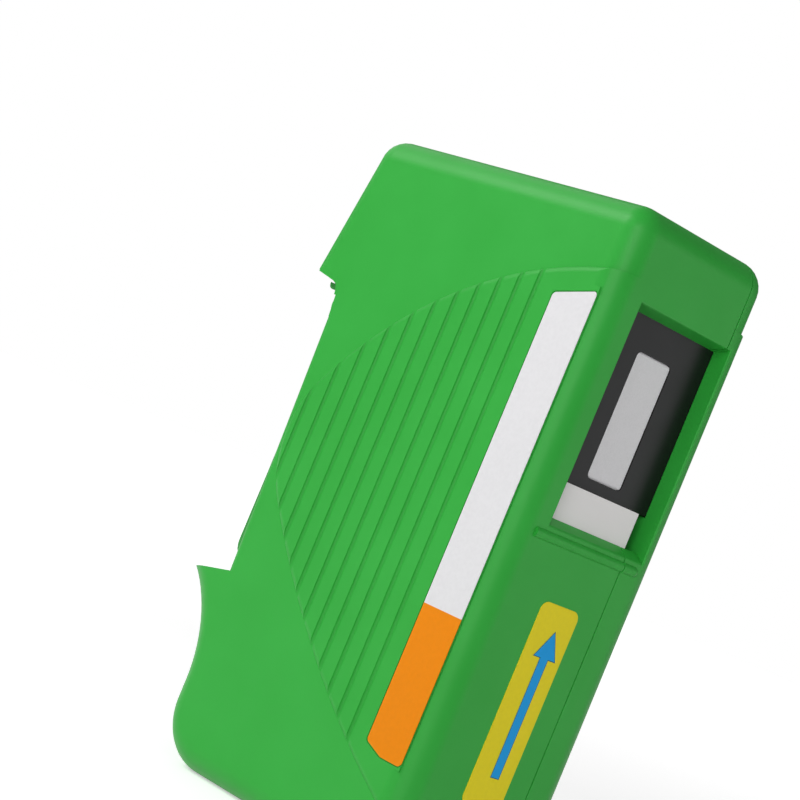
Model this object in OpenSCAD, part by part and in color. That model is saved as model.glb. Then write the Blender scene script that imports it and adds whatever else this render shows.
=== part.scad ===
// Fibre optic cleaning cassette: a reel of cleaning tape behind a shuttered window, wound on by a lever.
// The front faces -Y, the window side faces +X and the case stands on its short end.

/* [Case] */
// Width of the case from the window side to the grip
case_w = 63; // [60:1:72]
// Height of the case
case_h = 112; // [108:1:124]
// Thickness of the walls
wall = 2; // [1.6:0.1:2.2]
// Radius of the window side's long edges and of the top
edge_r = 4.5; // [3.5:0.1:5]
// Radius of the grip's lower corner
grip_r = 10; // [9:0.5:11]
// How far the grip's waist lies inside the grip line
waist_in = 3.4; // [2.5:0.1:4]
// Radius of the hollow curve from the waist to the lower horn
waist_r = 21.5; // [20:0.5:23]
// Radius of the lever recess's edges
lip_r = 1.75; // [1:0.05:1.8]
// How far the upper horn stands out past the grip line
horn_out = 6; // [5:0.1:7]
// How far the recess's edge lies inside the grip
recess_in = 2.5; // [1.5:0.1:3]
// How much further in the recess's edge is at its foot
recess_slant = 2.3; // [0.5:0.1:2.6]
// How far the case stands out past the grip line at its top
top_out = 0.9; // [0:0.1:2]
// Height of the recess's floor above the base
recess_foot = 33.2; // [30:0.1:37]
// Height of the recess's roof below the top
recess_roof_drop = 26.7; // [26:0.1:28]
// How far behind the middle the parting line runs below the recess's roof, as a share of the depth
part_low_share = 0.2625; // [0.253:0.0005:0.275]
// How far behind the middle the parting line runs above the recess's roof, as a share of the depth
part_high_share = 0.3622; // [0.348:0.0005:0.373]

/* [Raised panel] */
// How far the ribbed panel stands proud
panel_rise = 0.6; // [0.3:0.1:1.2]
// Radius of the panel's upper arc
upper_arc_r = 76.55; // [72:0.05:82]
// Radius of the panel's lower arc
lower_arc_r = 175.75; // [170:0.05:180]
// Radius at the panel's left end
panel_end_r = 17; // [8:1:22]
// Number of grooves
groove_count = 11; // [4:1:11]
// Distance from groove to groove
groove_pitch = 3.95; // [3:0.05:4]
// Width of a groove
groove_w = 1; // [0.6:0.1:1.6]
// Depth of a groove
groove_depth = 0.28; // [0.1:0.02:0.5]

/* [Window] */
// Height of the window
window_h = 37.2; // [33:0.1:42]
// Height of the window's roof below the top
window_roof_drop = 14.2; // [12:0.1:16]
// Width of the jamb in front of the window
front_jamb_w = 6.6; // [6:0.1:8]
// Width of the jamb behind the window
rear_jamb_w = 3.6; // [3.3:0.1:4]
// Depth from the side face to the slotted plate
plate_depth = 3.34; // [3.24:0.02:3.6]
// Thickness of the slotted plate
plate_t = 0.5; // [0.4:0.05:0.8]
// Height of the slot
slot_h = 21.5; // [16:0.1:23]
// Width of the slot
slot_w = 8.6; // [6:0.1:9.4]
// Corner radius of the slot
slot_r = 0.9; // [0.4:0.1:2]
// Thickness of the shutter
shutter_t = 1; // [0.7:0.05:1.1]
// Width of the bead below the window
bead_w = 1.8; // [1.2:0.1:2.6]
// How far the bead stands proud
bead_rise = 0.6; // [0.3:0.1:0.8]

/* [Labels] */
// Thickness of the labels
label_t = 0.15; // [0.1:0.01:0.3]
// Width of the front label
front_label_w = 8.8; // [6:0.1:9]
// Length of the front label
front_label_h = 78; // [60:0.5:82]
// Width of the direction label
side_label_w = 9.2; // [6:0.1:11]
// Height of the direction label above the base
side_label_lift = 15.2; // [8:0.1:30]
// Corner radius of the labels
label_r = 1.5; // [0.8:0.1:2.5]

/* [Lever] */
// Radius of the lever's pin
pin_r = 1.5; // [1.2:0.05:1.7]
// Thickness of the lever's skin
lever_t = 1.6; // [1.2:0.1:2]
// Depth of the lever from its face to its inner edge
lever_depth = 7; // [5:0.1:7.4]
// Wire radius of the lever spring
wire_r = 0.3; // [0.2:0.02:0.35]
// Turns of the lever spring
spring_turns = 4; // [3:1:5]

/* [Reels and tape] */
// Width of the tape
tape_w = 11.6; // [9:0.1:14]
// Thickness of the free tape as drawn
tape_t = 0.3; // [0.2:0.02:0.34]
// Radius of the roll of fresh tape, as a share of its reel's flanges
supply_roll_share = 0.8537; // [0.6:0.001:0.92]
// Radius of the roll of used tape
take_up_roll_r = 8.5; // [8:0.1:12]
// Clearance round the flanges of the supply reel
supply_clear = 2.94; // [2.5:0.02:4]
// Clearance under the flanges of the take-up reel
take_up_clear = 0.96; // [0.6:0.02:4]
// Radius of the reels' cores
core_r = 7.5; // [7.2:0.1:7.8]
// Radius of the reels' posts
post_r = 2; // [1.6:0.05:2.2]
// Radius of the tape's guide pins
guide_r = 1.5; // [1:0.05:1.7]

/* [Drive] */
// Size of the teeth, as pitch diameter for each tooth
gear_module = 0.8; // [0.78:0.005:0.82]
// Teeth of the pinion
pinion_teeth = 14; // [13:1:15]
// Teeth of the wheel beside the pinion
wheel_teeth = 34; // [32:1:34]
// Teeth of the take-up gear
take_up_teeth = 28; // [27:1:28]
// Thickness of the gears
gear_t = 2.5; // [2.2:0.1:3]
// Clearance between the wheel and the back wall
back_clear = 1.9; // [1.7:0.1:2.8]
// Play between meshing teeth
backlash = 0.2; // [0.12:0.01:0.3]
// Radius of the case screws' shanks
screw_r = 1.2; // [1:0.05:1.3]

/* [Hidden] */

// Resolution of round forms, of true round parts and of small ones
round_fn = 28;
fine_fn = 96;
small_fn = 32;
arc_steps = 24;
spring_sides = 6;
turn_steps = 14;

// Clearances and the overrun of the cuts
cut = 1;
sliver = 0.01;
run_gap = 0.05;
side_gap = 0.4;
slide_gap = 0.15;
soft_gap = 0.3;
move_gap = 1.45;

// Layers of the mechanism from the reels to the back, on which the depth of the case follows
tape_mid = 0.25;
tape_front = tape_mid - tape_w / 2;
tape_rear = tape_mid + tape_w / 2;
flange_t = 1.1;
reel_front = tape_front - soft_gap;
reel_rear = tape_rear + soft_gap / 2 + sliver * 5;
flange_front = reel_front - flange_t;
flange_rear = reel_rear + flange_t;
layer_1 = flange_rear + side_gap;
layer_1_end = layer_1 + gear_t;
layer_2 = layer_1_end + side_gap;
layer_2_end = layer_2 + gear_t;
inner_y = layer_2_end + back_clear;
flat_y = inner_y + wall;
case_d = flat_y * 2;
ratchet_t = 2.5;
ratchet_lift = 3.05;
ratchet_front = -inner_y + ratchet_lift;
ratchet_rear = ratchet_front + ratchet_t;
post_base_h = 2.7;

// Faces of the case
side_x = case_w / 2;
inner_x = side_x - wall;
grip_x = -side_x;
recess_roof = case_h - recess_roof_drop;
waist_x = grip_x + waist_in;
waist_z = 13;
flare_share = 0.7;
horn_slope = 0.11;
low_horn_slope = 0.2;
panel_y = flat_y + panel_rise;
part_low = case_d * part_low_share;
part_high = case_d * part_high_share;
part_drop = 6.1;
part_step_z = recess_roof - part_drop;
recess_top_x = grip_x + recess_in;
recess_foot_x = recess_top_x + recess_slant;
fillet_r = 2.4;
panel_upper_at = [8.4, 8.3];
panel_lower_at = [74.8, 134.75];
groove_inset = 15.6;

// Window and what lies in it
window_top = case_h - window_roof_drop;
window_foot = window_top - window_h;
window_rear = flat_y - rear_jamb_w;
window_front = -flat_y + front_jamb_w;
roof_slope = 1;
sill_rise = 1.3;
plate_x = side_x - plate_depth;
plate_back = plate_x - plate_t;
plate_rise = 7.3;
plate_foot = window_foot + plate_rise;
plate_over = 1.7;
plate_head = window_top + plate_over;
slot_sill = 2;
slot_foot = plate_foot + slot_sill;
slot_y = 1.05;
front_label_inset = 11.65;
front_label_drop = 0.6;
front_label_split = 9;
side_label_drop = 10.9;
side_label_shift = 0.65;
bead_drop = 1.6;
bead_over = 2.6;
bead_inset = 0.6;
bead_z = window_foot - bead_drop;
bead_front = window_front - bead_over;
bead_rear = window_rear - bead_inset;
jamb_over = 2.2;
jamb_reach = 3.2;
pad_depth = 4.8;
pad_base_x = plate_back - pad_depth;
pad_base_t = 1.8;

// Gear radii
pinion_r = gear_module * pinion_teeth / 2;
wheel_r = gear_module * wheel_teeth / 2;
take_up_r = gear_module * take_up_teeth / 2;
addendum_share = 0.8;
dedendum_share = 1.05;
addendum = gear_module * addendum_share;
dedendum = gear_module * dedendum_share;
pressure = 20;
gear_pitch = gear_module * PI;

// Places on the front, as [x, z]
rack_inset = 6.5;
rack_x = side_x - rack_inset;
close_gap = 1.2;
rack_clear = 4.15;
rack_reach = 1.75;
rack_travel = window_top - plate_foot - close_gap;
rack_foot = wall + rack_clear;
drive_z = rack_foot + rack_travel + rack_reach;
drive_at = [rack_x - wheel_r, drive_z];
take_up_turn = -118;
take_up_at = drive_at + polar(pinion_r + take_up_r, take_up_turn);
take_up_flange_r = take_up_at[1] - wall - take_up_clear;
lever_inset = 3.5;
lever_drop = 3.8;
lever_at = [grip_x + lever_inset, recess_roof - lever_drop];
boss_r = pin_r * 2.05;
supply_half = (pad_base_x - lever_at[0] - boss_r) / 2;
supply_at = [pad_base_x - supply_half, (take_up_at[1] + take_up_flange_r + case_h - wall) / 2];
supply_flange_r = supply_half - supply_clear;
supply_roll_r = supply_flange_r * supply_roll_share;
upper_guide_drop = 1;
lower_guide_rise = 3.6;
upper_guide_at = [plate_back - tape_t - slide_gap / 2 - guide_r, window_top - upper_guide_drop];
lower_guide_at = [upper_guide_at[0], window_foot + lower_guide_rise];
sector_r = norm(lever_at - drive_at) - pinion_r;
mesh_turn = atan2(drive_at[1] - lever_at[1], drive_at[0] - lever_at[0]);
sector_step = 360 * gear_module / (2 * sector_r);
sector_first = -3;
sector_last = 7;

// Shutter
shutter_back_x = plate_x + (plate_depth - wall - shutter_t) / 2 + sliver;
shutter_face_x = shutter_back_x + shutter_t;
shutter_inset = 3.1;
shutter_rear = window_rear - shutter_inset;
shutter_fore = window_front + side_gap * 2;
shutter_len = window_h - side_gap * 0.75;
shutter_top = plate_foot;
shutter_foot = shutter_top - shutter_len;
rack_join = 7.3;

// Screws
screw_boss_r = 3;
screw_head_r = 2.2;
screw_head_t = 1.4;
screw_sink = 1.6;
screw_depth = 12;
screw_low = [11, 6.5];
screw_grip = [14.5, 8.5];
screw_high = [7, 7];
screw_horn = [9.5, 8];
screw_places = [
    [side_x - screw_low[0], screw_low[1]],
    [grip_x + screw_grip[0], screw_grip[1]],
    [side_x - screw_high[0], case_h - screw_high[1]],
    [grip_x + screw_horn[0], case_h - screw_horn[1]]
];

function polar(r, a) = [r * cos(a), r * sin(a)];
function arc(center, r, from, to, steps) =
    [for (i = [0:steps]) center + polar(r, from + (to - from) * i / steps)];

// Shared forms: a disc or plate drawn in the front view between two depths
module slab(from, to) {
    translate([0, to, 0])
        rotate([90, 0, 0])
            linear_extrude(height = to - from)
                children();
}

module rod(at, from, to, r, fn = small_fn) {
    translate([at[0], to, at[1]])
        rotate([90, 0, 0])
            cylinder(h = to - from, r = r, $fn = fn);
}

module round_rect(w, h, r) {
    translate([r, 0]) square([w - 2 * r, h]);
    translate([0, r]) square([w, h - 2 * r]);
    for (x = [r, w - r])
        for (z = [r, h - r])
            translate([x, z]) circle(r = r, $fn = small_fn);
}

// Case
module ball(r) {
    turn = 360 / round_fn;
    rotate_extrude($fn = round_fn)
        polygon(concat([[0, -r]], arc([0, 0], r, turn - 90, 90 - turn, round_fn / 2 - 2), [[0, r]]));
}

module corner(x, z, r, half) {
    for (side = [-1, 1])
        translate([x, side * (half - r), z])
            ball(r);
}

// Rounded edges of forms turned about the depth: of a disc and of the hollow beside a round waist
function disc_edge(r) = arc([r - edge_r, flat_y - edge_r], edge_r, 0, 90, arc_steps / 3);
function hollow_edge(r) = arc([r + edge_r, flat_y - edge_r], edge_r, 180, 90, arc_steps / 3);

module turned(at, half) {
    below = [for (i = [len(half) - 1:-1:0]) [half[i][0], -half[i][1]]];
    translate([at[0], 0, at[1]])
        rotate([90, 0, 0])
            rotate_extrude($fn = fine_fn)
                polygon(concat(half, below));
}

module upper_form() {
    lean = (horn_out - top_out) / recess_roof_drop;
    low_z = recess_roof - edge_r;
    difference() {
        hull() {
            corner(side_x - edge_r, case_h - edge_r, edge_r, flat_y);
            corner(side_x - edge_r, recess_roof + edge_r, edge_r, flat_y);
            corner(grip_x - top_out - lean * edge_r + edge_r, case_h - edge_r, edge_r, flat_y);
            corner(grip_x - horn_out - lean * edge_r + edge_r, low_z, edge_r, flat_y);
        }
        slab(-case_d, case_d)
            polygon([
                [recess_top_x + lip_r, recess_roof],
                [-case_w, recess_roof + horn_slope * (case_w + recess_top_x)],
                [-case_w, recess_foot],
                [recess_top_x + lip_r, recess_foot]
            ]);
    }
}

module middle_form() {
    hull() {
        corner(side_x - edge_r, recess_roof + edge_r * 2, edge_r, flat_y);
        corner(side_x - edge_r, recess_foot - edge_r, edge_r, flat_y);
        corner(recess_top_x + lip_r, recess_roof + lip_r * 2, lip_r, flat_y);
        corner(recess_foot_x + lip_r, recess_foot - lip_r, lip_r, flat_y);
    }
}

module lower_form() {
    difference() {
        union() {
            hull() {
                turned([waist_x + grip_r, grip_r], concat(disc_edge(grip_r), [[0, flat_y]]));
                corner(waist_x + edge_r, recess_foot + edge_r, edge_r, flat_y);
                corner(side_x - edge_r, edge_r, edge_r, flat_y);
                corner(side_x - edge_r, recess_foot, edge_r, flat_y);
            }
            difference() {
                hull() {
                    corner(waist_x - waist_r * flare_share, recess_foot, edge_r, flat_y);
                    corner(waist_x + edge_r, waist_z, edge_r, flat_y);
                    corner(waist_x + edge_r * 2, recess_foot + edge_r, edge_r, flat_y);
                }
                turned(
                    [waist_x - waist_r, waist_z],
                    concat(hollow_edge(waist_r), [[waist_r + edge_r, case_d], [0, case_d]])
                );
            }
        }
        slab(-case_d, case_d)
            polygon([
                [recess_foot_x + lip_r, recess_foot],
                [-case_w, recess_foot - low_horn_slope * (case_w + recess_foot_x)],
                [-case_w, recess_roof],
                [recess_foot_x + lip_r, recess_roof]
            ]);
    }
}

module panel_block(grow) {
    hull() {
        corner(side_x - edge_r, case_h - edge_r, edge_r, panel_y + grow);
        corner(side_x - edge_r, edge_r, edge_r, panel_y + grow);
        corner(recess_top_x + lip_r, recess_roof + lip_r * 2, lip_r, panel_y + grow);
        corner(recess_foot_x + lip_r, recess_foot - lip_r, lip_r, panel_y + grow);
    }
}

module panel_outline() {
    upper_at = [side_x + panel_upper_at[0], recess_foot - panel_upper_at[1]];
    lower_at = [side_x + panel_lower_at[0], recess_foot + panel_lower_at[1]];
    offset(r = panel_end_r)
        offset(delta = -panel_end_r)
            intersection() {
                translate(upper_at) circle(r = upper_arc_r, $fn = fine_fn * 2);
                translate(lower_at) circle(r = lower_arc_r, $fn = fine_fn * 4);
            }
}

module grooves() {
    bow_r = (groove_w * groove_w / 4 + groove_depth * groove_depth) / (2 * groove_depth);
    first_x = side_x - groove_inset;
    for (side = [-1, 1])
        for (i = [0:groove_count - 1])
            translate([first_x - i * groove_pitch, side * (panel_y + bow_r - groove_depth), 0])
                cylinder(h = case_h, r = bow_r, $fn = small_fn);
}

module bead() {
    bow_r = bead_w / 2;
    translate([side_x + bead_rise - bow_r, 0, bead_z]) {
        translate([0, bead_rear - bow_r, 0]) {
            rotate([90, 0, 0])
                cylinder(h = bead_rear - bow_r - bead_front, r = bow_r, $fn = small_fn);
            sphere(r = bow_r, $fn = small_fn);
        }
    }
}

module recess_fillet() {
    at = [recess_top_x - fillet_r, recess_roof - fillet_r];
    slab(-flat_y + lip_r / 4, flat_y - lip_r / 4)
        polygon(concat(
            [[recess_top_x + lip_r, recess_roof + lip_r], [recess_top_x - fillet_r, recess_roof + lip_r]],
            arc(at, fillet_r, 90, 0, arc_steps / 2),
            [[recess_top_x + lip_r, recess_roof - fillet_r]]
        ));
}

module case_form() {
    upper_form();
    middle_form();
    lower_form();
    recess_fillet();
    bead();
    difference() {
        intersection() {
            panel_block(0);
            slab(-panel_y, panel_y) panel_outline();
        }
        grooves();
    }
}

module cavity() {
    roof = case_h - wall;
    top_x = grip_x - top_out + wall;
    horn_x = grip_x - horn_out + wall;
    floor_x = recess_foot_x + wall * 1.6;
    foot_z = recess_foot - wall * 2;
    inner_r = edge_r - wall;
    slab(-inner_y, inner_y)
        polygon([
            [inner_x, foot_z],
            [inner_x, roof - wall],
            [inner_x - wall, roof],
            [top_x + edge_r, roof],
            [top_x + edge_r / 3, roof - edge_r / 3],
            [horn_x, recess_roof],
            [-case_w, recess_roof],
            [-case_w, recess_foot],
            [floor_x, recess_foot],
            [floor_x, foot_z]
        ]);
    hull() {
        corner(waist_x + grip_r, grip_r, grip_r - wall, inner_y);
        corner(waist_x + edge_r, foot_z - inner_r, inner_r, inner_y);
        corner(side_x - edge_r, edge_r, inner_r, inner_y);
        corner(side_x - edge_r, recess_foot - edge_r / 2, inner_r, inner_y);
    }
}

module window_cut() {
    slope = roof_slope / plate_depth;
    sill = sill_rise / wall;
    slab(window_front, window_rear)
        polygon([
            [side_x + cut, window_foot - sill * cut],
            [side_x + cut, window_top + slope * cut],
            [plate_x, window_top - roof_slope],
            [plate_x, window_foot + sill * plate_depth]
        ]);
}

// The part of the depth that belongs to the front shell
module roof_block(from, to) {
    difference() {
        slab(from, to)
            translate([plate_x, window_top - roof_slope])
                square([plate_depth - wall + sliver, plate_over + roof_slope]);
        window_cut();
    }
}

module front_half() {
    span = case_w * 2;
    translate([-span / 2, 0, 0])
        rotate([90, 0, 90])
            linear_extrude(height = span)
                polygon([
                    [-case_d, -cut],
                    [part_low, -cut],
                    [part_low, part_step_z],
                    [part_high, part_step_z],
                    [part_high, case_h + cut],
                    [-case_d, case_h + cut]
                ]);
}

module front_label_outline(grow) {
    left = side_x - front_label_inset - grow;
    slant = front_label_w * 0.295;
    foot = window_top - front_label_drop - front_label_h;
    shoulder = label_r * 1.6;
    difference() {
        translate([left, foot - grow])
            round_rect(front_label_w + 2 * grow, front_label_h + 2 * grow, label_r);
        translate([left - sliver, foot + front_label_h + grow - slant])
            rotate(atan2(slant, front_label_w))
                square([front_label_w * 2, slant * 2]);
        translate([left, foot - grow])
            rotate(-45)
                translate([-shoulder, -shoulder * 2])
                    square([shoulder * 2, shoulder * 2]);
    }
}

module front_shell() {
    spring_rib_w = 1.4;
    rail_w = 1.1;
    color("limegreen") {
        difference() {
            intersection() {
                case_form();
                front_half();
            }
            cavity();
            window_cut();
            difference() {
                slab(-panel_y - cut, -flat_y + sliver) front_label_outline(slide_gap);
                panel_block(-label_t / 2);
            }
            intersection() {
                union() {
                    for (at = screw_places)
                        rod(at, part_low - screw_depth, part_high + cut, screw_r + run_gap);
                }
                translate([-case_w, -inner_y, 0]) cube([case_w * 2, case_d, case_h]);
            }
        }
        for (i = [0:3])
            difference() {
                rod(screw_places[i], -inner_y - sliver, i < 2 ? part_low : part_high, screw_boss_r);
                rod(screw_places[i], part_low - screw_depth, part_high + cut, screw_r + run_gap);
            }
        reel_post(take_up_at, layer_1_end + side_gap * 3);
        reel_post(supply_at, flange_rear + side_gap * 3);
        difference() {
            rod(lever_at, -inner_y - sliver, -inner_y + move_gap - side_gap, pin_r * 1.5);
            rod(lever_at, -inner_y, 0, pin_r + run_gap / 2);
        }
        for (at = [upper_guide_at, lower_guide_at])
            difference() {
                rod(at, -inner_y - sliver, tape_front - soft_gap * 4, guide_r + tape_t + slide_gap / 3);
                rod(at, -inner_y, 0, guide_r + run_gap / 2);
            }
        translate([plate_x - rail_w, -inner_y - sliver, edge_r * 2])
            cube([rail_w, shutter_fore + inner_y + wall / 2, window_foot - edge_r * 2 - wall]);
        roof_block(-inner_y - sliver, part_high);
        slab(-inner_y - sliver, spring_leg_y() + wire_r * 2)
            translate(spring_rest() + [wire_r + slide_gap / 2, -spring_rib_w])
                square([spring_rib_w, spring_rib_w * 2.5]);
        slab(-inner_y - sliver, ratchet_rear)
            translate(pawl_post() - [leaf_post_w / 2, leaf_post_w / 2])
                square([leaf_post_w, leaf_post_w]);
        slab(-inner_y - sliver, ratchet_rear)
            translate(brake_post() - [leaf_post_w / 2, leaf_post_w / 2])
                square([leaf_post_w, leaf_post_w]);
    }
}

module reel_post(at, end) {
    rod(at, -inner_y - sliver, -inner_y + post_base_h, post_r * 2);
    rod(at, -inner_y - sliver, flange_rear + side_gap / 2, post_r);
    rod(at, -inner_y - sliver, end, post_r * 0.6);
}

module rear_shell() {
    rib_t = 1.2;
    color("limegreen") {
        difference() {
            case_form();
            front_half();
            cavity();
            window_cut();
            for (at = screw_places) {
                rod(at, 0, panel_y + cut, screw_r + run_gap);
                rod(at, flat_y - screw_sink, panel_y + cut, screw_head_r + soft_gap / 2);
            }
        }
        for (i = [0:3])
            difference() {
                rod(screw_places[i], i < 2 ? part_low : part_high, inner_y + sliver, screw_boss_r);
                rod(screw_places[i], 0, panel_y + cut, screw_r + run_gap);
            }
        rod(drive_at, layer_1 - side_gap / 4, inner_y + sliver, pin_r);
        rod(drive_at, layer_2_end + slide_gap, inner_y + sliver, pin_r * 1.75);
        difference() {
            rod(lever_at, inner_y - move_gap + side_gap, inner_y + sliver, pin_r * 1.5);
            rod(lever_at, 0, inner_y, pin_r + run_gap / 2);
        }
        roof_block(part_high, inner_y + sliver);
        difference() {
            translate([plate_x, window_rear, window_foot - jamb_over])
                cube([plate_depth - wall + sliver, inner_y - window_rear + sliver, window_h + jamb_over]);
            window_cut();
        }
        slab(window_rear, inner_y + sliver)
            translate([plate_x - jamb_reach, window_foot - jamb_over])
                square([jamb_reach + sliver, plate_rise - slide_gap + jamb_over]);
        for (z = [window_foot * 0.8, (window_foot + window_top) / 2 - rib_t * 4, window_top + wall * 2])
            translate([lever_at[0] + supply_clear * 3, inner_y - rib_t, z])
                cube([case_w * 0.45, rib_t + sliver, rib_t]);
    }
}

module case_screws() {
    color("silver")
        for (at = screw_places)
            difference() {
                union() {
                    rod(at, part_low - screw_depth + cut, flat_y - screw_sink, screw_r);
                    rod(at, flat_y - screw_sink, flat_y - screw_sink + screw_head_t, screw_head_r);
                }
                for (turn = [0, 90])
                    translate([at[0], flat_y - screw_sink + screw_head_t, at[1]])
                        rotate([0, turn, 0])
                            cube([screw_r * 2, screw_head_t, screw_r / 3], center = true);
            }
}

// Labels
module front_label() {
    split = recess_foot + front_label_split;
    intersection() {
        difference() {
            panel_block(label_t / 2);
            panel_block(-label_t / 2 + sliver);
        }
        union() {
            color("white")
                slab(-panel_y - label_t, -flat_y)
                    intersection() {
                        front_label_outline(0);
                        translate([0, split]) square([case_w, case_h]);
                    }
            color("orange")
                slab(-panel_y - label_t, -flat_y)
                    intersection() {
                        front_label_outline(0);
                        translate([0, split - case_h]) square([case_w, case_h]);
                    }
        }
    }
}

module direction_label() {
    side_label_h = window_foot - side_label_drop - side_label_lift;
    color("gold")
        translate([side_x, -side_label_w / 2 - side_label_shift, side_label_lift])
            rotate([90, 0, 90])
                linear_extrude(height = label_t)
                    round_rect(side_label_w, side_label_h, label_r);
}

// Lever
lever_half = inner_y - move_gap;
lever_sink = 1;
lever_face = grip_x + lever_sink;
lever_foot = recess_foot + wall;
nose_out = 2.9;
nose_drop = 0.3;
nose_t = 1.1;
nose_r = 0.9;
neck_in = 1.7;
key_drop = 8;
key_r = 1.2;
key_at = lever_at + [key_r * 2, -key_drop];

module lever_outline() {
    back = lever_face + lever_depth;
    foot_r = 3;
    nose_x = grip_x - nose_out;
    nose_top = recess_roof - nose_drop;
    nose_foot = nose_top - nose_t;
    neck_x = lever_face - neck_in;
    polygon(concat(
        [[nose_x, nose_top]],
        arc([nose_x + nose_r, nose_foot + nose_r], nose_r, 180, 270, arc_steps / 4),
        arc([neck_x, nose_foot - neck_in], neck_in, 90, 0, arc_steps / 4),
        arc([lever_face + foot_r, lever_foot + foot_r], foot_r, 180, 270, arc_steps / 4),
        arc([back - foot_r, lever_foot + foot_r], foot_r, 270, 360, arc_steps / 4),
        [
            [back, lever_at[1] - boss_r * 2.5],
            [lever_at[0] + boss_r, lever_at[1]],
            [lever_at[0], lever_at[1] + boss_r - sliver]
        ]
    ));
    translate(lever_at) circle(r = boss_r, $fn = small_fn);
}

module lever_hollow() {
    back = lever_face + lever_depth;
    foot_r = 2.2;
    inside = lever_face + lever_t;
    polygon(concat(
        [[inside, lever_at[1] - key_drop / 2]],
        arc([inside + foot_r, lever_foot + lever_t + foot_r], foot_r, 180, 270, arc_steps / 4),
        [
            [back + cut, lever_foot + lever_t],
            [back + cut, lever_at[1] + boss_r + cut],
            [lever_at[0] - boss_r / 3, lever_at[1] + boss_r + cut]
        ]
    ));
    translate(lever_at) circle(r = boss_r + side_gap, $fn = small_fn);
}

module lever() {
    grip_count = 7;
    grip_step = 3.2;
    grip_cut_r = 0.9;
    grip_foot = lever_foot + grip_step * 3.75;
    color("green")
        difference() {
            slab(-lever_half, lever_half) lever_outline();
            slab(-lever_half + lever_t, lever_half - lever_t) lever_hollow();
            rod(lever_at, -flat_y, flat_y, pin_r + run_gap);
            rod(key_at, 0, flat_y, key_r + run_gap);
            for (i = [0:grip_count - 1])
                rod([lever_face - grip_cut_r * 0.55, grip_foot + i * grip_step],
                    -lever_half + lever_t, lever_half - lever_t, grip_cut_r);
        }
}

module lever_pin() {
    color("silver")
        rod(lever_at, -inner_y, inner_y, pin_r);
}

// Torsion spring: a leg on the case, the coil round the pin and a leg on the lever
coil_r = 2.35;
coil_pitch = 1.2;
coil_side_gap = 3.4;
spring_leg = 9;
spring_arm = 14;
function spring_leg_y() = -lever_half + lever_t + coil_side_gap;
function spring_rest() = lever_at + [spring_leg, spring_leg];
coil_start = 45 - acos(coil_r / norm(spring_rest() - lever_at));
function coil_point(share) =
    let (turn = coil_start - (360 * spring_turns + coil_start) * share)
    [
        lever_at[0] + coil_r * cos(turn),
        spring_leg_y() + coil_pitch * spring_turns * share,
        lever_at[1] + coil_r * sin(turn)
    ];
coil_steps = spring_turns * turn_steps;
spring_arm_x = lever_face + lever_t + wire_r + slide_gap;
spring_arm_y = spring_leg_y() + coil_pitch * spring_turns;
spring_points = concat(
    [[spring_rest()[0], spring_leg_y(), spring_rest()[1]]],
    [for (i = [0:coil_steps]) coil_point(i / coil_steps)],
    [[spring_arm_x, spring_arm_y, lever_at[1] - spring_arm]]
);

// Sweeps a round wire along points
module wire(points, r, sides) {
    last = len(points) - 1;
    heads = [for (i = [0:last]) points[min(i + 1, last)] - points[max(i - 1, 0)]];
    rings = [
        for (i = [0:last])
            let (
                along = heads[i] / norm(heads[i]),
                side = cross(along, [0.13, 0.99, 0.07]),
                u = side / norm(side),
                v = cross(along, u)
            )
            [for (k = [0:sides - 1]) points[i] + r * (u * cos(360 * k / sides) + v * sin(360 * k / sides))]
    ];
    polyhedron(
        points = [for (ring = rings) for (p = ring) p],
        faces = concat(
            [[for (k = [0:sides - 1]) k]],
            [[for (k = [sides - 1:-1:0]) last * sides + k]],
            [
                for (i = [0:last - 1])
                    for (k = [0:sides - 1])
                        for (f = [0, 1])
                            let (
                                a = i * sides + k,
                                b = i * sides + (k + 1) % sides
                            )
                            f == 0 ? [a, a + sides, b] : [b, a + sides, b + sides]
            ]
        )
    );
}

module lever_spring() {
    color("silver")
        wire(spring_points, wire_r, spring_sides);
}

// Gears
function involute_turn(k) = k > 1 ? sqrt(k * k - 1) * 180 / PI - acos(1 / k) : 0;
function half_tooth(pitch_r, r) =
    let (base = pitch_r * cos(pressure))
    (gear_pitch / 4 - backlash / 4) / pitch_r * 180 / PI
        + involute_turn(pitch_r / base) - involute_turn(r / base);
flank_shares = [0, 0.3, 0.55, 0.8, 1];
function tooth(pitch_r, turn) =
    let (
        root = pitch_r - dedendum,
        depth = addendum + dedendum,
        count = len(flank_shares)
    )
    concat(
        [for (i = [0:count - 1])
            let (r = root + depth * flank_shares[i]) polar(r, turn - half_tooth(pitch_r, r))],
        [for (i = [count - 1:-1:0])
            let (r = root + depth * flank_shares[i]) polar(r, turn + half_tooth(pitch_r, r))]
    );
function gear_outline(teeth, turn) =
    [for (i = [0:teeth - 1]) each tooth(gear_module * teeth / 2, turn + i * 360 / teeth)];

pinion_turn = mesh_turn + 180;
pinion_step = 360 / pinion_teeth;
mesh_slip = (pinion_turn - take_up_turn) - round((pinion_turn - take_up_turn) / pinion_step) * pinion_step;
take_up_phase = take_up_turn + 180 - mesh_slip * pinion_teeth / take_up_teeth + 180 / take_up_teeth;

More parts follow.
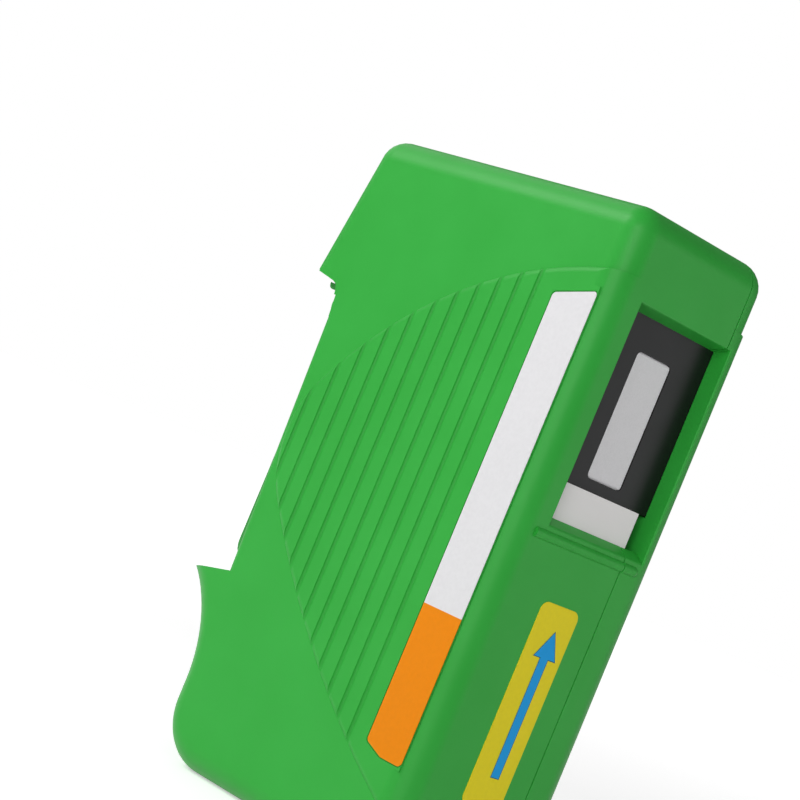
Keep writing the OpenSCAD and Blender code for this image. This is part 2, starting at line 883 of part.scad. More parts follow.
module drive_sector() {
    rim = 3;
    spoke_w = 5;
    spoke_turn = 5;
    inner = sector_r - dedendum - rim;
    from = mesh_turn + (sector_first + 0.1) * sector_step;
    to = mesh_turn + (sector_last + 0.9) * sector_step;
    color("white") {
        difference() {
            union() {
                slab(layer_1, layer_1_end)
                    translate(lever_at) {
                        polygon(concat(
                            [for (i = [sector_first:sector_last])
                                each tooth(sector_r, mesh_turn + (i + 0.5) * sector_step)],
                            [polar(sector_r - dedendum, to), polar(inner, to)],
                            arc([0, 0], inner, to, from, arc_steps),
                            [polar(sector_r - dedendum, from)]
                        ));
                        for (turn = [from + spoke_turn, mesh_turn + sector_step * sector_last / 2])
                            rotate(turn)
                                translate([0, -spoke_w / 2])
                                    square([inner + rim / 2, spoke_w]);
                    }
                rod(lever_at, layer_1, lever_half - lever_t, boss_r);
                slab(layer_1, layer_1_end)
                    polygon([
                        lever_at + [-boss_r / 2, 0],
                        key_at - [key_r * 1.7, 0],
                        key_at + [key_r * 1.7, 0],
                        lever_at + [boss_r * 1.6, 0]
                    ]);
                rod(key_at, layer_1, lever_half - sliver, key_r);
                rod(key_at, layer_1, lever_half - lever_t, key_r * 1.7);
            }
            rod(lever_at, 0, flat_y, pin_r + run_gap);
        }
    }
}

module drive_gear() {
    web = gear_t * 0.35;
    color("white")
        difference() {
            union() {
                slab(layer_1, layer_2 + sliver)
                    translate(drive_at) polygon(gear_outline(pinion_teeth, pinion_turn));
                slab(layer_2, layer_2_end)
                    translate(drive_at) polygon(gear_outline(wheel_teeth, 0));
            }
            rod(drive_at, 0, flat_y, pin_r + run_gap);
            difference() {
                rod(drive_at, layer_2_end - web, layer_2_end + cut, wheel_r - dedendum - wall);
                rod(drive_at, layer_2_end - web - cut, layer_2_end + cut * 2, pin_r + wall);
            }
        }
}

module take_up_gear() {
    boss = post_r * 1.6;
    finger_t = clutch_tooth * 4 / 3;
    finger_r = clutch_r - finger_t;
    color("white")
        difference() {
            union() {
                slab(layer_1, layer_1_end)
                    translate(take_up_at) polygon(gear_outline(take_up_teeth, take_up_phase));
                rod(take_up_at, clutch_front + side_gap, layer_1_end, boss);
                slab(clutch_front + side_gap, layer_1 + sliver)
                    translate(take_up_at)
                        for (i = [0:2])
                            rotate(i * 120 + clutch_step * 0.45) mirror([0, 1]) {
                                polygon(concat(
                                    arc([0, 0], finger_r - finger_t, 0, 70, 8),
                                    arc([0, 0], finger_r, 70, 0, 8)
                                ));
                                polygon([
                                    polar(boss - finger_t, 78),
                                    polar(finger_r, 70),
                                    polar(finger_r, 62),
                                    polar(boss - finger_t, 48)
                                ]);
                                polygon([
                                    polar(finger_r - finger_t / 2, 0),
                                    polar(clutch_r + clutch_tooth * 0.6, 1.5),
                                    polar(finger_r - finger_t / 4, 14)
                                ]);
                            }
            }
            rod(take_up_at, -flat_y, flat_y, post_r * 0.6 + run_gap);
            rod(take_up_at, -flat_y, layer_1 - side_gap / 4, post_r + run_gap);
        }
}

// Shutter with its rack
module shutter() {
    leg_top = drive_z + rack_reach;
    root_x = rack_x + dedendum;
    tip_half = gear_pitch / 4 - backlash / 4 - addendum * tan(pressure);
    root_half = gear_pitch / 4 - backlash / 4 + dedendum * tan(pressure);
    teeth = floor((leg_top - rack_foot) / gear_pitch);
    over = side_x;
    color("whitesmoke") {
        translate([shutter_back_x, shutter_fore, shutter_foot])
            cube([shutter_t, shutter_rear - shutter_fore, shutter_len]);
        translate([shutter_back_x, shutter_rear - wall * 2, rack_foot])
            cube([shutter_t, layer_2_end - shutter_rear + wall * 2, shutter_foot + rack_join - rack_foot]);
        slab(layer_2, layer_2_end)
            difference() {
                union() {
                    translate([root_x, rack_foot])
                        square([shutter_face_x - root_x, leg_top - rack_foot]);
                    for (i = [0:teeth])
                        translate([rack_x, drive_z + (1.5 - i - 1) * gear_pitch])
                            polygon([
                                [-addendum, -tip_half],
                                [dedendum + sliver, -root_half],
                                [dedendum + sliver, root_half],
                                [-addendum, tip_half]
                            ]);
                }
                translate([0, leg_top]) square([over, gear_pitch * 2]);
                translate([0, rack_foot - gear_pitch * 2]) square([over, gear_pitch * 2]);
            }
    }
}

// Window plate, pad and tape
plate_front_y = -inner_y + wall / 2;

module tape_plate() {
    color("black")
        difference() {
            translate([plate_back, plate_front_y, plate_foot])
                cube([plate_t, window_rear - plate_front_y, plate_head - plate_foot]);
            translate([plate_back - cut, slot_y - slot_w / 2, slot_foot])
                rotate([90, 0, 90])
                    linear_extrude(height = plate_t + cut * 2)
                        round_rect(slot_w, slot_h, slot_r);
        }
}

pad_foot = plate_foot + slide_gap;
pad_drop = 4;
pad_head = window_top - pad_drop;

module pad_carrier() {
    cheek = 0.9;
    color("dimgray") {
        translate([pad_base_x, -inner_y, pad_foot])
            cube([pad_base_t, tape_rear + soft_gap + cheek + inner_y, pad_head - pad_foot]);
        translate([pad_base_x, -inner_y, pad_foot])
            cube([plate_back - pad_base_x, tape_front - soft_gap + inner_y, pad_head - pad_foot]);
        translate([pad_base_x, tape_rear + soft_gap, pad_foot])
            cube([plate_back - pad_base_x, cheek, pad_head - pad_foot]);
    }
}

module cushion_pad() {
    color("gray")
        translate([pad_base_x + pad_base_t, tape_front, pad_foot + wall / 2])
            cube([
                plate_back - pad_base_x - pad_base_t - tape_t - slide_gap / 2,
                tape_w,
                pad_head - pad_foot - wall
            ]);
}

module cleaning_tape() {
    inner_r = guide_r + sliver * 2;
    outer_r = guide_r + tape_t;
    ride_r = guide_r + tape_t / 2;
    supply_r = supply_roll_r + soft_gap + tape_t / 2;
    used_r = take_up_roll_r + soft_gap + tape_t / 2;
    up = supply_at - upper_guide_at;
    up_turn = atan2(up[1], up[0]) - acos((ride_r - supply_r) / norm(up));
    down = take_up_at - lower_guide_at;
    down_turn = atan2(down[1], down[0]) + acos((ride_r + used_r) / norm(down));
    turn_in = up_turn < -180 ? up_turn + 360 : up_turn;
    turn_out = down_turn > 180 ? down_turn - 360 : down_turn;
    color("white")
        slab(tape_front, tape_rear)
            polygon(concat(
                [supply_at + polar(supply_r + tape_t / 2, turn_in)],
                arc(upper_guide_at, outer_r, turn_in, 0, 10),
                arc(lower_guide_at, outer_r, 0, turn_out, 10),
                [
                    take_up_at - polar(used_r - tape_t / 2, turn_out),
                    take_up_at - polar(used_r + tape_t / 2, turn_out)
                ],
                arc(lower_guide_at, inner_r, turn_out, 0, 10),
                arc(upper_guide_at, inner_r, 0, turn_in, 10),
                [supply_at + polar(supply_r - tape_t / 2, turn_in)]
            ));
}

module upper_guide_pin() {
    color("silver")
        rod(upper_guide_at, -inner_y, flange_rear, guide_r);
}

module lower_guide_pin() {
    color("silver")
        rod(lower_guide_at, -inner_y, flange_rear, guide_r);
}

// Reels
clutch_r = 5.8;
clutch_tooth = 0.6;
clutch_teeth = 12;
clutch_step = 360 / clutch_teeth;
clutch_depth = 3.95;
clutch_front = flange_rear - clutch_depth;
ratchet_r = 8.6;
ratchet_tooth = 1;
ratchet_teeth = 18;
function saw(teeth, r, depth, turn) = [
    for (i = [0:teeth - 1])
        each [
            polar(r, turn + i * 360 / teeth),
            polar(r + depth, turn + (i + 0.94) * 360 / teeth)
        ]
];

module reel_body(at, flange_r) {
    window_r = flange_r * 0.16;
    rod(at, ratchet_front, flange_front + sliver, post_r * 1.8);
    difference() {
        union() {
            rod(at, flange_front, reel_front, flange_r, fine_fn);
            rod(at, reel_rear, flange_rear, flange_r, fine_fn);
        }
        for (i = [0:4])
            rod(at + polar(flange_r * 0.68, i * 72 + 18), flange_front - cut, flange_rear + cut, window_r);
    }
    rod(at, reel_front - sliver, reel_rear + sliver, core_r, fine_fn);
}

module take_up_reel() {
    color("white")
        difference() {
            union() {
                reel_body(take_up_at, take_up_flange_r);
                slab(ratchet_front, ratchet_rear)
                    translate(take_up_at)
                        polygon(saw(ratchet_teeth, ratchet_r - ratchet_tooth, ratchet_tooth, pawl_turn));
            }
            rod(take_up_at, -flat_y, flat_y, post_r + run_gap);
            slab(clutch_front, flange_rear + cut)
                translate(take_up_at)
                    polygon(saw(clutch_teeth, clutch_r, clutch_tooth, clutch_step / 2));
        }
}

module supply_reel() {
    color("white")
        difference() {
            union() {
                reel_body(supply_at, supply_flange_r);
                rod(supply_at, ratchet_front, ratchet_rear, ratchet_r, fine_fn);
            }
            rod(supply_at, -flat_y, flat_y, post_r + run_gap);
            rod(supply_at, clutch_front, flange_rear + cut, clutch_r);
        }
}

module roll(at, r) {
    difference() {
        rod(at, tape_front, tape_rear, r, fine_fn);
        rod(at, tape_front - cut, tape_rear + cut, core_r, fine_fn);
    }
}

module take_up_tape() {
    color("lightgray")
        roll(take_up_at, take_up_roll_r);
}

module supply_tape() {
    color("white")
        roll(supply_at, supply_roll_r);
}

// Pawl and brake, each a leaf held by a post of the front shell
pawl_turn = 118;
pawl_reach = 6.5;
leaf_t = 0.7;
brake_t = 0.5;
leaf_post_w = 3;
function pawl_post() = take_up_at + polar(ratchet_r + pawl_reach, pawl_turn + 34);
function brake_post() = supply_at - [ratchet_r + soft_gap + brake_t + run_gap + leaf_post_w / 2, 0];

module anti_reverse_pawl() {
    tip = take_up_at + polar(ratchet_r - ratchet_tooth * 0.45, pawl_turn + 3);
    root = pawl_post() + [leaf_post_w / 2, leaf_post_w / 4];
    along = tip - root;
    color("silver")
        slab(ratchet_front + run_gap, ratchet_rear - run_gap)
            translate(root)
                rotate(atan2(along[1], along[0]))
                    polygon([
                        [0, 0],
                        [norm(along), 0],
                        [norm(along) - leaf_t / 2, leaf_t],
                        [0, leaf_t]
                    ]);
}

module supply_brake_spring() {
    color("silver")
        slab(ratchet_front + run_gap, ratchet_rear - run_gap)
            translate(supply_at)
                polygon(concat(
                    arc([0, 0], ratchet_r + soft_gap, 130, 290, arc_steps),
                    arc([0, 0], ratchet_r + soft_gap + brake_t, 290, 130, arc_steps)
                ));
}

module reel_retainers() {
    cap_r = post_r * 1.05;
    color("black") {
        difference() {
            rod(take_up_at, layer_1_end + side_gap / 4, layer_1_end + side_gap * 4, cap_r);
            rod(take_up_at, 0, layer_1_end + side_gap * 3, post_r * 0.6 + run_gap / 2);
        }
        difference() {
            rod(supply_at, flange_rear + side_gap / 2, flange_rear + side_gap * 4, cap_r * 1.2);
            rod(supply_at, 0, flange_rear + side_gap * 3, post_r * 0.6 + run_gap / 2);
        }
    }
}

front_shell();
rear_shell();
case_screws();
front_label();
direction_label();
lever();
lever_pin();
lever_spring();
drive_sector();
drive_gear();
shutter();
tape_plate();
pad_carrier();
cushion_pad();
cleaning_tape();
upper_guide_pin();
lower_guide_pin();
take_up_gear();
take_up_reel();
take_up_tape();
anti_reverse_pawl();
supply_reel();
supply_tape();
supply_brake_spring();
reel_retainers();
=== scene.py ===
"""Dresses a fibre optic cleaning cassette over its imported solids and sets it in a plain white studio.

Sizes are in millimetres and turned into metres where a mesh is made. X runs to the window side, Y to the back
and Z up the case, which stands on its short end.
"""

import logging
import math
from dataclasses import dataclass
from enum import Enum
from typing import Callable, Iterable, Sequence

import bmesh
import bpy
from mathutils import Matrix, Vector


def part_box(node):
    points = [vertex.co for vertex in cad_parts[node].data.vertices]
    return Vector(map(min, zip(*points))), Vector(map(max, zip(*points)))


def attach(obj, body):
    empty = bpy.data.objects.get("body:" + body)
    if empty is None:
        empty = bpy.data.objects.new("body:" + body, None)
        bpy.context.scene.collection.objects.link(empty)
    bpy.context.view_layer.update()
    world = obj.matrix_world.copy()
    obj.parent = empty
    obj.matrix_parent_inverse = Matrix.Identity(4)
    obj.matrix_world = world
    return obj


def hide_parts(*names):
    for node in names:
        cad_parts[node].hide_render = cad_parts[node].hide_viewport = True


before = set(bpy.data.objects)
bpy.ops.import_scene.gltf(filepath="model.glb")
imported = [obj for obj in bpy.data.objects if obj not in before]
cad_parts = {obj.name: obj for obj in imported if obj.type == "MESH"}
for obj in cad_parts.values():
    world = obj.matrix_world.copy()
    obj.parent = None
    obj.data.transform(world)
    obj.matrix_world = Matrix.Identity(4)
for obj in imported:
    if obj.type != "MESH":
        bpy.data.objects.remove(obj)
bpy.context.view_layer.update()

MM = 0.001
LOG = logging.getLogger("cassette")

# Vertices nearer than this many mm are one, and faces that differ by fewer degrees are one flat face.
MERGE_WITHIN = 0.002
FLAT_WITHIN = 0.4
# An edge that turns by this many degrees counts as sharp.
SHARP = 40
ROUND_SIDES = 48
CORNER_STEPS = 6
WHITE = (1.0, 1.0, 1.0)

Colour = tuple[float, float, float]
Place = tuple[float, float, float]
Point = tuple[float, float]
Box = tuple[float, float, float, float]
Piece = bpy.types.Object
Socket = bpy.types.NodeSocket
Edge = bmesh.types.BMEdge


class Body(str, Enum):
    """The bodies that pieces ride on."""

    CASE = "case"
    LEVER = "lever"
    SHUTTER = "shutter"
    TAKE_UP = "take_up"
    SUPPLY = "supply"


class Side(Enum):
    """The two large faces of the case."""

    FRONT = -1
    BACK = 1


# Bench: the few operations that every piece is made with


def deselect() -> None:
    """Leaves edit mode and deselects everything."""
    if bpy.context.object and bpy.context.object.mode != "OBJECT":
        bpy.ops.object.mode_set(mode="OBJECT")
    bpy.ops.object.select_all(action="DESELECT")


def take(piece: Piece) -> None:
    """Makes a piece the only selected and the active one.

    Args:
        piece: the piece to work on.
    """
    deselect()
    piece.select_set(True)
    bpy.context.view_layer.objects.active = piece


def open_mesh(piece: Piece) -> None:
    """Enters edit mode with a piece's whole mesh selected.

    Args:
        piece: the piece to work on.
    """
    take(piece)
    bpy.ops.object.mode_set(mode="EDIT")
    bpy.ops.mesh.select_all(action="SELECT")


def face_outwards() -> None:
    """Turns the faces of the mesh in edit mode outwards and leaves edit mode."""
    bpy.ops.mesh.select_all(action="SELECT")
    bpy.ops.mesh.normals_make_consistent(inside=False)
    bpy.ops.object.mode_set(mode="OBJECT")


def settle(piece: Piece) -> Piece:
    """Puts a piece's place, turn and scale into its mesh.

    Args:
        piece: the piece to work on.

    Returns:
        The same piece, at the origin.
    """
    take(piece)
    bpy.ops.object.transform_apply(location=True, rotation=True, scale=True)
    return piece


def from_faces(name: str, corners: Sequence[Vector], faces: Sequence[tuple[int, ...]]) -> Piece:
    """Makes a piece from corners and faces.

    Args:
        name: name of the new object.
        corners: corners, in metres.
        faces: numbers of each face's corners.

    Returns:
        The piece, as a start for shaping.
    """
    mesh = bpy.data.meshes.new(name)
    mesh.from_pydata(corners, [], faces)
    piece = bpy.data.objects.new(name, mesh)
    bpy.context.scene.collection.objects.link(piece)
    return piece


def bar(name: str, at: Sequence[float], radius: float, length: float, axis: str, sides: int) -> Piece:
    """Adds a round bar about a centre.

    Args:
        name: name of the new object.
        at: centre, in mm.
        radius: radius, in mm.
        length: length, in mm.
        axis: the axis that it lies along, "Y" or "Z".
        sides: number of sides.

    Returns:
        The bar, as a start for shaping.
    """
    deselect()
    turn = (math.pi / 2, 0, 0) if axis == "Y" else (0, 0, 0)
    place = [v * MM for v in at]
    bpy.ops.mesh.primitive_cylinder_add(
        vertices=sides, radius=radius * MM, depth=length * MM, location=place, rotation=turn
    )
    piece = bpy.context.active_object
    piece.name = name
    return settle(piece)


def plate(name: str, outline: Iterable[Point], plane: str, level: float, thickness: float) -> Piece:
    """Draws an outline as one face and extrudes it.

    Args:
        name: name of the new object.
        outline: points in mm, as (x, z) for plane "Y" or (y, z) for plane "X".
        plane: the axis that the face looks along.
        level: where the face lies on that axis, in mm.
        thickness: signed length of the extrusion along that axis, in mm.

    Returns:
        The closed plate.
    """
    along_x = plane == "X"
    points = [Vector((level, a, b) if along_x else (a, level, b)) * MM for a, b in outline]
    piece = from_faces(name, points, [tuple(range(len(points)))])
    open_mesh(piece)
    step = (thickness * MM, 0, 0) if along_x else (0, thickness * MM, 0)
    bpy.ops.mesh.extrude_region_move(TRANSFORM_OT_translate={"value": step})
    face_outwards()
    return piece


def round_edges(piece: Piece, test: Callable[[Edge], bool], width: float, segments: int) -> None:
    """Bevels the edges that pass a test.

    Args:
        piece: the piece to work on.
        test: says of an edge whether it is wanted.
        width: width of the bevel, in mm.
        segments: number of segments of the bevel.
    """
    take(piece)
    bpy.ops.object.mode_set(mode="EDIT")
    bpy.ops.mesh.select_mode(type="EDGE")
    bpy.ops.mesh.select_all(action="DESELECT")
    shape = bmesh.from_edit_mesh(piece.data)
    chosen = [edge for edge in shape.edges if test(edge)]
    for edge in chosen:
        edge.select_set(True)
    bmesh.update_edit_mesh(piece.data)
    if chosen:
        bpy.ops.mesh.bevel(
            offset=width * MM, offset_type="OFFSET", segments=segments, affect="EDGES", clamp_overlap=True
        )
    bpy.ops.object.mode_set(mode="OBJECT")


def edge_turn(edge: Edge) -> float:
    """Angle between an edge's two faces, in degrees, or 0 for an open edge."""
    return math.degrees(edge.calc_face_angle(0.0)) if len(edge.link_faces) == 2 else 0.0


def carve(piece: Piece, tool: Piece, operation: str) -> None:
    """Cuts a solid out of a piece, or joins it, and deletes it.

    Args:
        piece: the piece to work on.
        tool: the solid that cuts or joins it.
        operation: DIFFERENCE or UNION.
    """
    take(piece)
    change = piece.modifiers.new("change", "BOOLEAN")
    change.operation = operation
    change.solver = "EXACT"
    change.object = tool
    bpy.ops.object.modifier_apply(modifier=change.name)
    bpy.data.objects.remove(tool)


def copy_of(node: str, name: str) -> Piece:
    """Copies a solid of the frame, merges its loose triangles and clears flat faces of inner edges.

    Args:
        node: name of the solid.
        name: name of the copy.

    Returns:
        The copy, as a start for shaping.
    """
    piece = bpy.data.objects.new(name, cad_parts[node].data.copy())
    piece.data.materials.clear()
    bpy.context.scene.collection.objects.link(piece)
    take(piece)
    bpy.ops.mesh.customdata_custom_splitnormals_clear()
    open_mesh(piece)
    bpy.ops.mesh.remove_doubles(threshold=MERGE_WITHIN * MM)
    bpy.ops.mesh.dissolve_limited(angle_limit=math.radians(FLAT_WITHIN))
    bpy.ops.object.mode_set(mode="OBJECT")
    return piece


def soften(piece: Piece, width: float, turn: float = SHARP, segments: int = 2) -> None:
    """Rounds all edges sharper than an angle.

    Args:
        piece: the piece to work on.
        width: width of the bevel, in mm.
        turn: least angle between the faces of an edge, in degrees.
        segments: number of segments of the bevel.
    """
    take(piece)
    bevel = piece.modifiers.new("soft edges", "BEVEL")
    bevel.width = width * MM
    bevel.segments = segments
    bevel.limit_method = "ANGLE"
    bevel.angle_limit = math.radians(turn)
    bpy.ops.object.modifier_apply(modifier=bevel.name)


def shade(piece: Piece, turn: float = 32) -> None:
    """Shades round forms smooth and keeps flat faces flat.

    Args:
        piece: the piece to work on.
        turn: greatest angle that is shaded smooth, in degrees.
    """
    take(piece)
    bpy.ops.object.shade_smooth_by_angle(angle=math.radians(turn))
    weights = piece.modifiers.new("even light", "WEIGHTED_NORMAL")
    weights.keep_sharp = True
    bpy.ops.object.modifier_apply(modifier=weights.name)


def on_circle(centre: Point, radius: float, turn: float) -> Point:
    """Point on a circle at an angle in degrees."""
    angle = math.radians(turn)
    return (centre[0] + radius * math.cos(angle), centre[1] + radius * math.sin(angle))


def arc(centre: Point, radius: float, start: float, end: float, steps: int) -> list[Point]:
    """Points along an arc from one angle in degrees to another, both ends included."""
    return [on_circle(centre, radius, start + (end - start) * i / steps) for i in range(steps + 1)]


# Finishes


def combine(operation: str, first: Socket, second: Socket) -> Socket:
    """Adds a math node on two values to their node tree.

    Args:
        operation: ADD, MULTIPLY or MAXIMUM.
        first: one value.
        second: the other value.

    Returns:
        The result.
    """
    tree = first.id_data
    made = tree.nodes.new("ShaderNodeMath")
    made.operation = operation
    tree.links.new(first, made.inputs[0])
    tree.links.new(second, made.inputs[1])
    return made.outputs[0]


class Recipe:
    """Builds a node material step by step."""

    def __init__(self, name: str, **sockets: float | Colour) -> None:
        """Starts a material with its shader.

        Args:
            name: name of the material.
            sockets: values of the shader's own sockets, with _ for a space.
        """
        self.material = bpy.data.materials.new(name)
        self.material.use_nodes = True
        self.tree = self.material.node_tree
        self.shader = self.tree.nodes["Principled BSDF"]
        self.place = self.node("ShaderNodeTexCoord").outputs["Object"]
        for socket, value in sockets.items():
            self.set(self.shader, socket, value)

    @staticmethod
    def set(node: bpy.types.Node, socket: str, value: float | Colour) -> None:
        """Sets one socket of a node.

        Args:
            node: the node.
            socket: its socket, with _ for a space.
            value: the socket's value.
        """
        target = node.inputs[socket.replace("_", " ")]
        if isinstance(value, tuple) and len(target.default_value) == 4:
            value = (*value, 1.0)
        target.default_value = value

    def node(self, kind: str, **sockets: float | Colour | Socket) -> bpy.types.Node:
        """Adds a node.

        Args:
            kind: type of the node.
            sockets: values or links of its inputs, with _ for a space.

        Returns:
            The node.
        """
        made = self.tree.nodes.new(kind)
        for socket, value in sockets.items():
            if isinstance(value, Socket):
                self.tree.links.new(value, made.inputs[socket.replace("_", " ")])
            else:
                self.set(made, socket, value)
        return made

    def noise(self, grain: float, detail: float, stretch: Place = (1.0, 1.0, 1.0)) -> Socket:
        """Adds a noise of a real size.

        Args:
            grain: size of its largest features, in mm.
            detail: octaves of finer features.
            stretch: scale of the pattern along each axis.

        Returns:
            The value of the noise.
        """
        mapping = self.node("ShaderNodeMapping", Vector=self.place, Scale=stretch)
        scale = 1 / (grain * MM)
        made = self.node("ShaderNodeTexNoise", Vector=mapping.outputs[0], Scale=scale, Detail=detail)
        return made.outputs["Fac"]

    def blend(self, share: Socket, low: Colour, high: Colour, start: float, end: float) -> Socket:
        """Adds a ramp between two colours.

        Args:
            share: value that picks the colour.
            low: colour at the start.
            high: colour at the end.
            start: value at which the first colour ends.
            end: value at which the second colour begins.

        Returns:
            The colour.
        """
        ramp = self.node("ShaderNodeValToRGB", Fac=share)
        first, last = ramp.color_ramp.elements
        first.position, first.color = start, (*low, 1.0)
        last.position, last.color = end, (*high, 1.0)
        return ramp.outputs["Color"]

    def mix(self, share: Socket, low: Socket, high: Socket) -> Socket:
        """Adds a mix of two linked colours.

        Args:
            share: share of the second colour.
            low: first colour.
            high: second colour.

        Returns:
            The colour.
        """
        made = self.node("ShaderNodeMix")
        made.data_type = "RGBA"
        self.tree.links.new(share, made.inputs["Factor"])
        ends = [socket for socket in made.inputs if socket.type == "RGBA"]
        for end, colour in zip(ends, (low, high)):
            self.tree.links.new(colour, end)
        return next(socket for socket in made.outputs if socket.type == "RGBA")

    def spread(self, value: Socket, low: float, high: float) -> Socket:
        """Maps a value from 0 to 1 onto another range."""
        return self.node("ShaderNodeMapRange", Value=value, To_Min=low, To_Max=high).outputs["Result"]

    def feed(self, socket: str, value: Socket) -> None:
        """Links a value to one of the shader's sockets."""
        self.tree.links.new(value, self.shader.inputs[socket])

    def bump(self, height: Socket, depth: float, strength: float = 1.0) -> None:
        """Adds a bump whose height of 1 stands for a depth in mm."""
        made = self.node("ShaderNodeBump", Height=height, Distance=depth * MM, Strength=strength)
        self.feed("Normal", made.outputs["Normal"])


def darker(colour: Colour, share: float) -> Colour:
    """A share of a colour's light."""
    return tuple(c * share for c in colour)


@dataclass(frozen=True)
class Moulded:
    """Satin moulded plastic with a fine grain and a faint mottling."""

    name: str
    colour: Colour
    shade: Colour
    roughness: float = 0.42
    uneven: float = 0.05
    mottling: float = 14.0
    patch: float = 5.0
    grain: float = 0.35
    depth: float = 0.006
    glow: float = 0.0
    scatter: float = 0.6
    ior: float = 1.47

    def build(self) -> bpy.types.Material:
        """Makes the material.

        Returns:
            The material.
        """
        made = Recipe(self.name, IOR=self.ior, Subsurface_Weight=self.glow)
        if self.glow:
            made.set(made.shader, "Subsurface Radius", WHITE)
            made.set(made.shader, "Subsurface Scale", self.scatter * MM)
        cloud = made.noise(self.mottling, detail=2)
        made.feed("Base Color", made.blend(cloud, self.shade, self.colour, start=0.3, end=0.7))
        low, high = self.roughness - self.uneven, self.roughness + self.uneven
        made.feed("Roughness", made.spread(made.noise(self.patch, detail=4), low, high))
        made.bump(made.noise(self.grain, detail=4), self.depth)
        return made.material


@dataclass(frozen=True)
class Metal:
    """Plated or bright steel, brushed along one axis."""

    name: str
    colour: Colour
    roughness: float = 0.3
    smoother: float = 0.08
    rougher: float = 0.1
    shadow: float = 0.86
    line: float = 0.12
    stretch: Place = (1.0, 0.04, 1.0)
    depth: float = 0.003

    def build(self) -> bpy.types.Material:
        """Makes the material.

        Returns:
            The material.
        """
        made = Recipe(self.name, Metallic=1.0)
        dark = darker(self.colour, self.shadow)
        lines = made.noise(self.line, detail=3, stretch=self.stretch)
        cloud = made.noise(grain=3, detail=2)
        made.feed("Base Color", made.blend(cloud, dark, self.colour, start=0.3, end=0.7))
        low, high = self.roughness - self.smoother, self.roughness + self.rougher
        made.feed("Roughness", made.spread(lines, low, high))
        made.bump(lines, self.depth)
        return made.material


@dataclass(frozen=True)
class Film:
    """Printed film in two colours that meet at a height."""

    name: str
    colour: Colour
    foot: Colour
    split: float = 0.0
    blur: float = 0.03
    shadow: float = 0.97
    roughness: tuple[float, float] = (0.38, 0.5)
    depth: float = 0.004
    ior: float = 1.25

    def build(self) -> bpy.types.Material:
        """Makes the material.

        Returns:
            The material.
        """
        made = Recipe(self.name, IOR=self.ior)
        height = made.node("ShaderNodeSeparateXYZ", Vector=made.place).outputs["Z"]
        start, end = (self.split - self.blur) * MM, (self.split + self.blur) * MM
        share = made.node("ShaderNodeMapRange", Value=height, From_Min=start, From_Max=end)
        cloud = made.noise(grain=0.6, detail=3)
        foot, head = (
            made.blend(cloud, darker(tint, self.shadow), tint, start=0.35, end=0.65)
            for tint in (self.foot, self.colour)
        )
        made.feed("Base Color", made.mix(share.outputs["Result"], foot, head))
        made.feed("Roughness", made.spread(made.noise(grain=4, detail=3), *self.roughness))
        made.bump(made.noise(grain=1.5, detail=3), self.depth)
        return made.material


@dataclass(frozen=True)
class Cloth:
    """Fine cleaning cloth: two crossed runs of thread, loosened by noise."""

    name: str
    colour: Colour
    shadow: float = 0.82
    thread: float = 0.16
    waves_per_unit: float = 3.2
    waver: float = 1.2
    depth: float = 0.05

    def build(self) -> bpy.types.Material:
        """Makes the material.

        Returns:
            The material.
        """
        made = Recipe(self.name, Roughness=0.9, Sheen_Weight=0.3, Sheen_Roughness=0.5)
        scale = 1 / (self.thread * self.waves_per_unit * MM)
        waves = []
        for axis in ("Y", "Z"):
            wave = made.node(
                "ShaderNodeTexWave", Vector=made.place, Scale=scale, Distortion=self.waver, Detail=2.0
            )
            wave.bands_direction = axis
            waves.append(wave.outputs["Fac"])
        loosened = combine("ADD", combine("MULTIPLY", *waves), made.noise(grain=0.3, detail=5))
        weave = made.spread(loosened, low=0.0, high=0.6)
        dark = darker(self.colour, self.shadow)
        made.feed("Base Color", made.blend(weave, dark, self.colour, start=0.1, end=0.8))
        made.bump(weave, self.depth, strength=0.7)
        return made.material


@dataclass(frozen=True)
class Foam:
    """Soft foam rubber with open pores."""

    name: str
    colour: Colour
    shadow: float = 0.55
    pore: float = 0.5
    depth: float = 0.12

    def build(self) -> bpy.types.Material:
        """Makes the material.

        Returns:
            The material.
        """
        made = Recipe(self.name, Roughness=0.95, Sheen_Weight=0.2)
        scale = 1 / (self.pore * MM)
        pores = made.node("ShaderNodeTexVoronoi", Vector=made.place, Scale=scale).outputs["Distance"]
        dark = darker(self.colour, self.shadow)
        made.feed("Base Color", made.blend(pores, dark, self.colour, start=0.1, end=0.6))
        made.bump(pores, self.depth, strength=0.8)
        return made.material


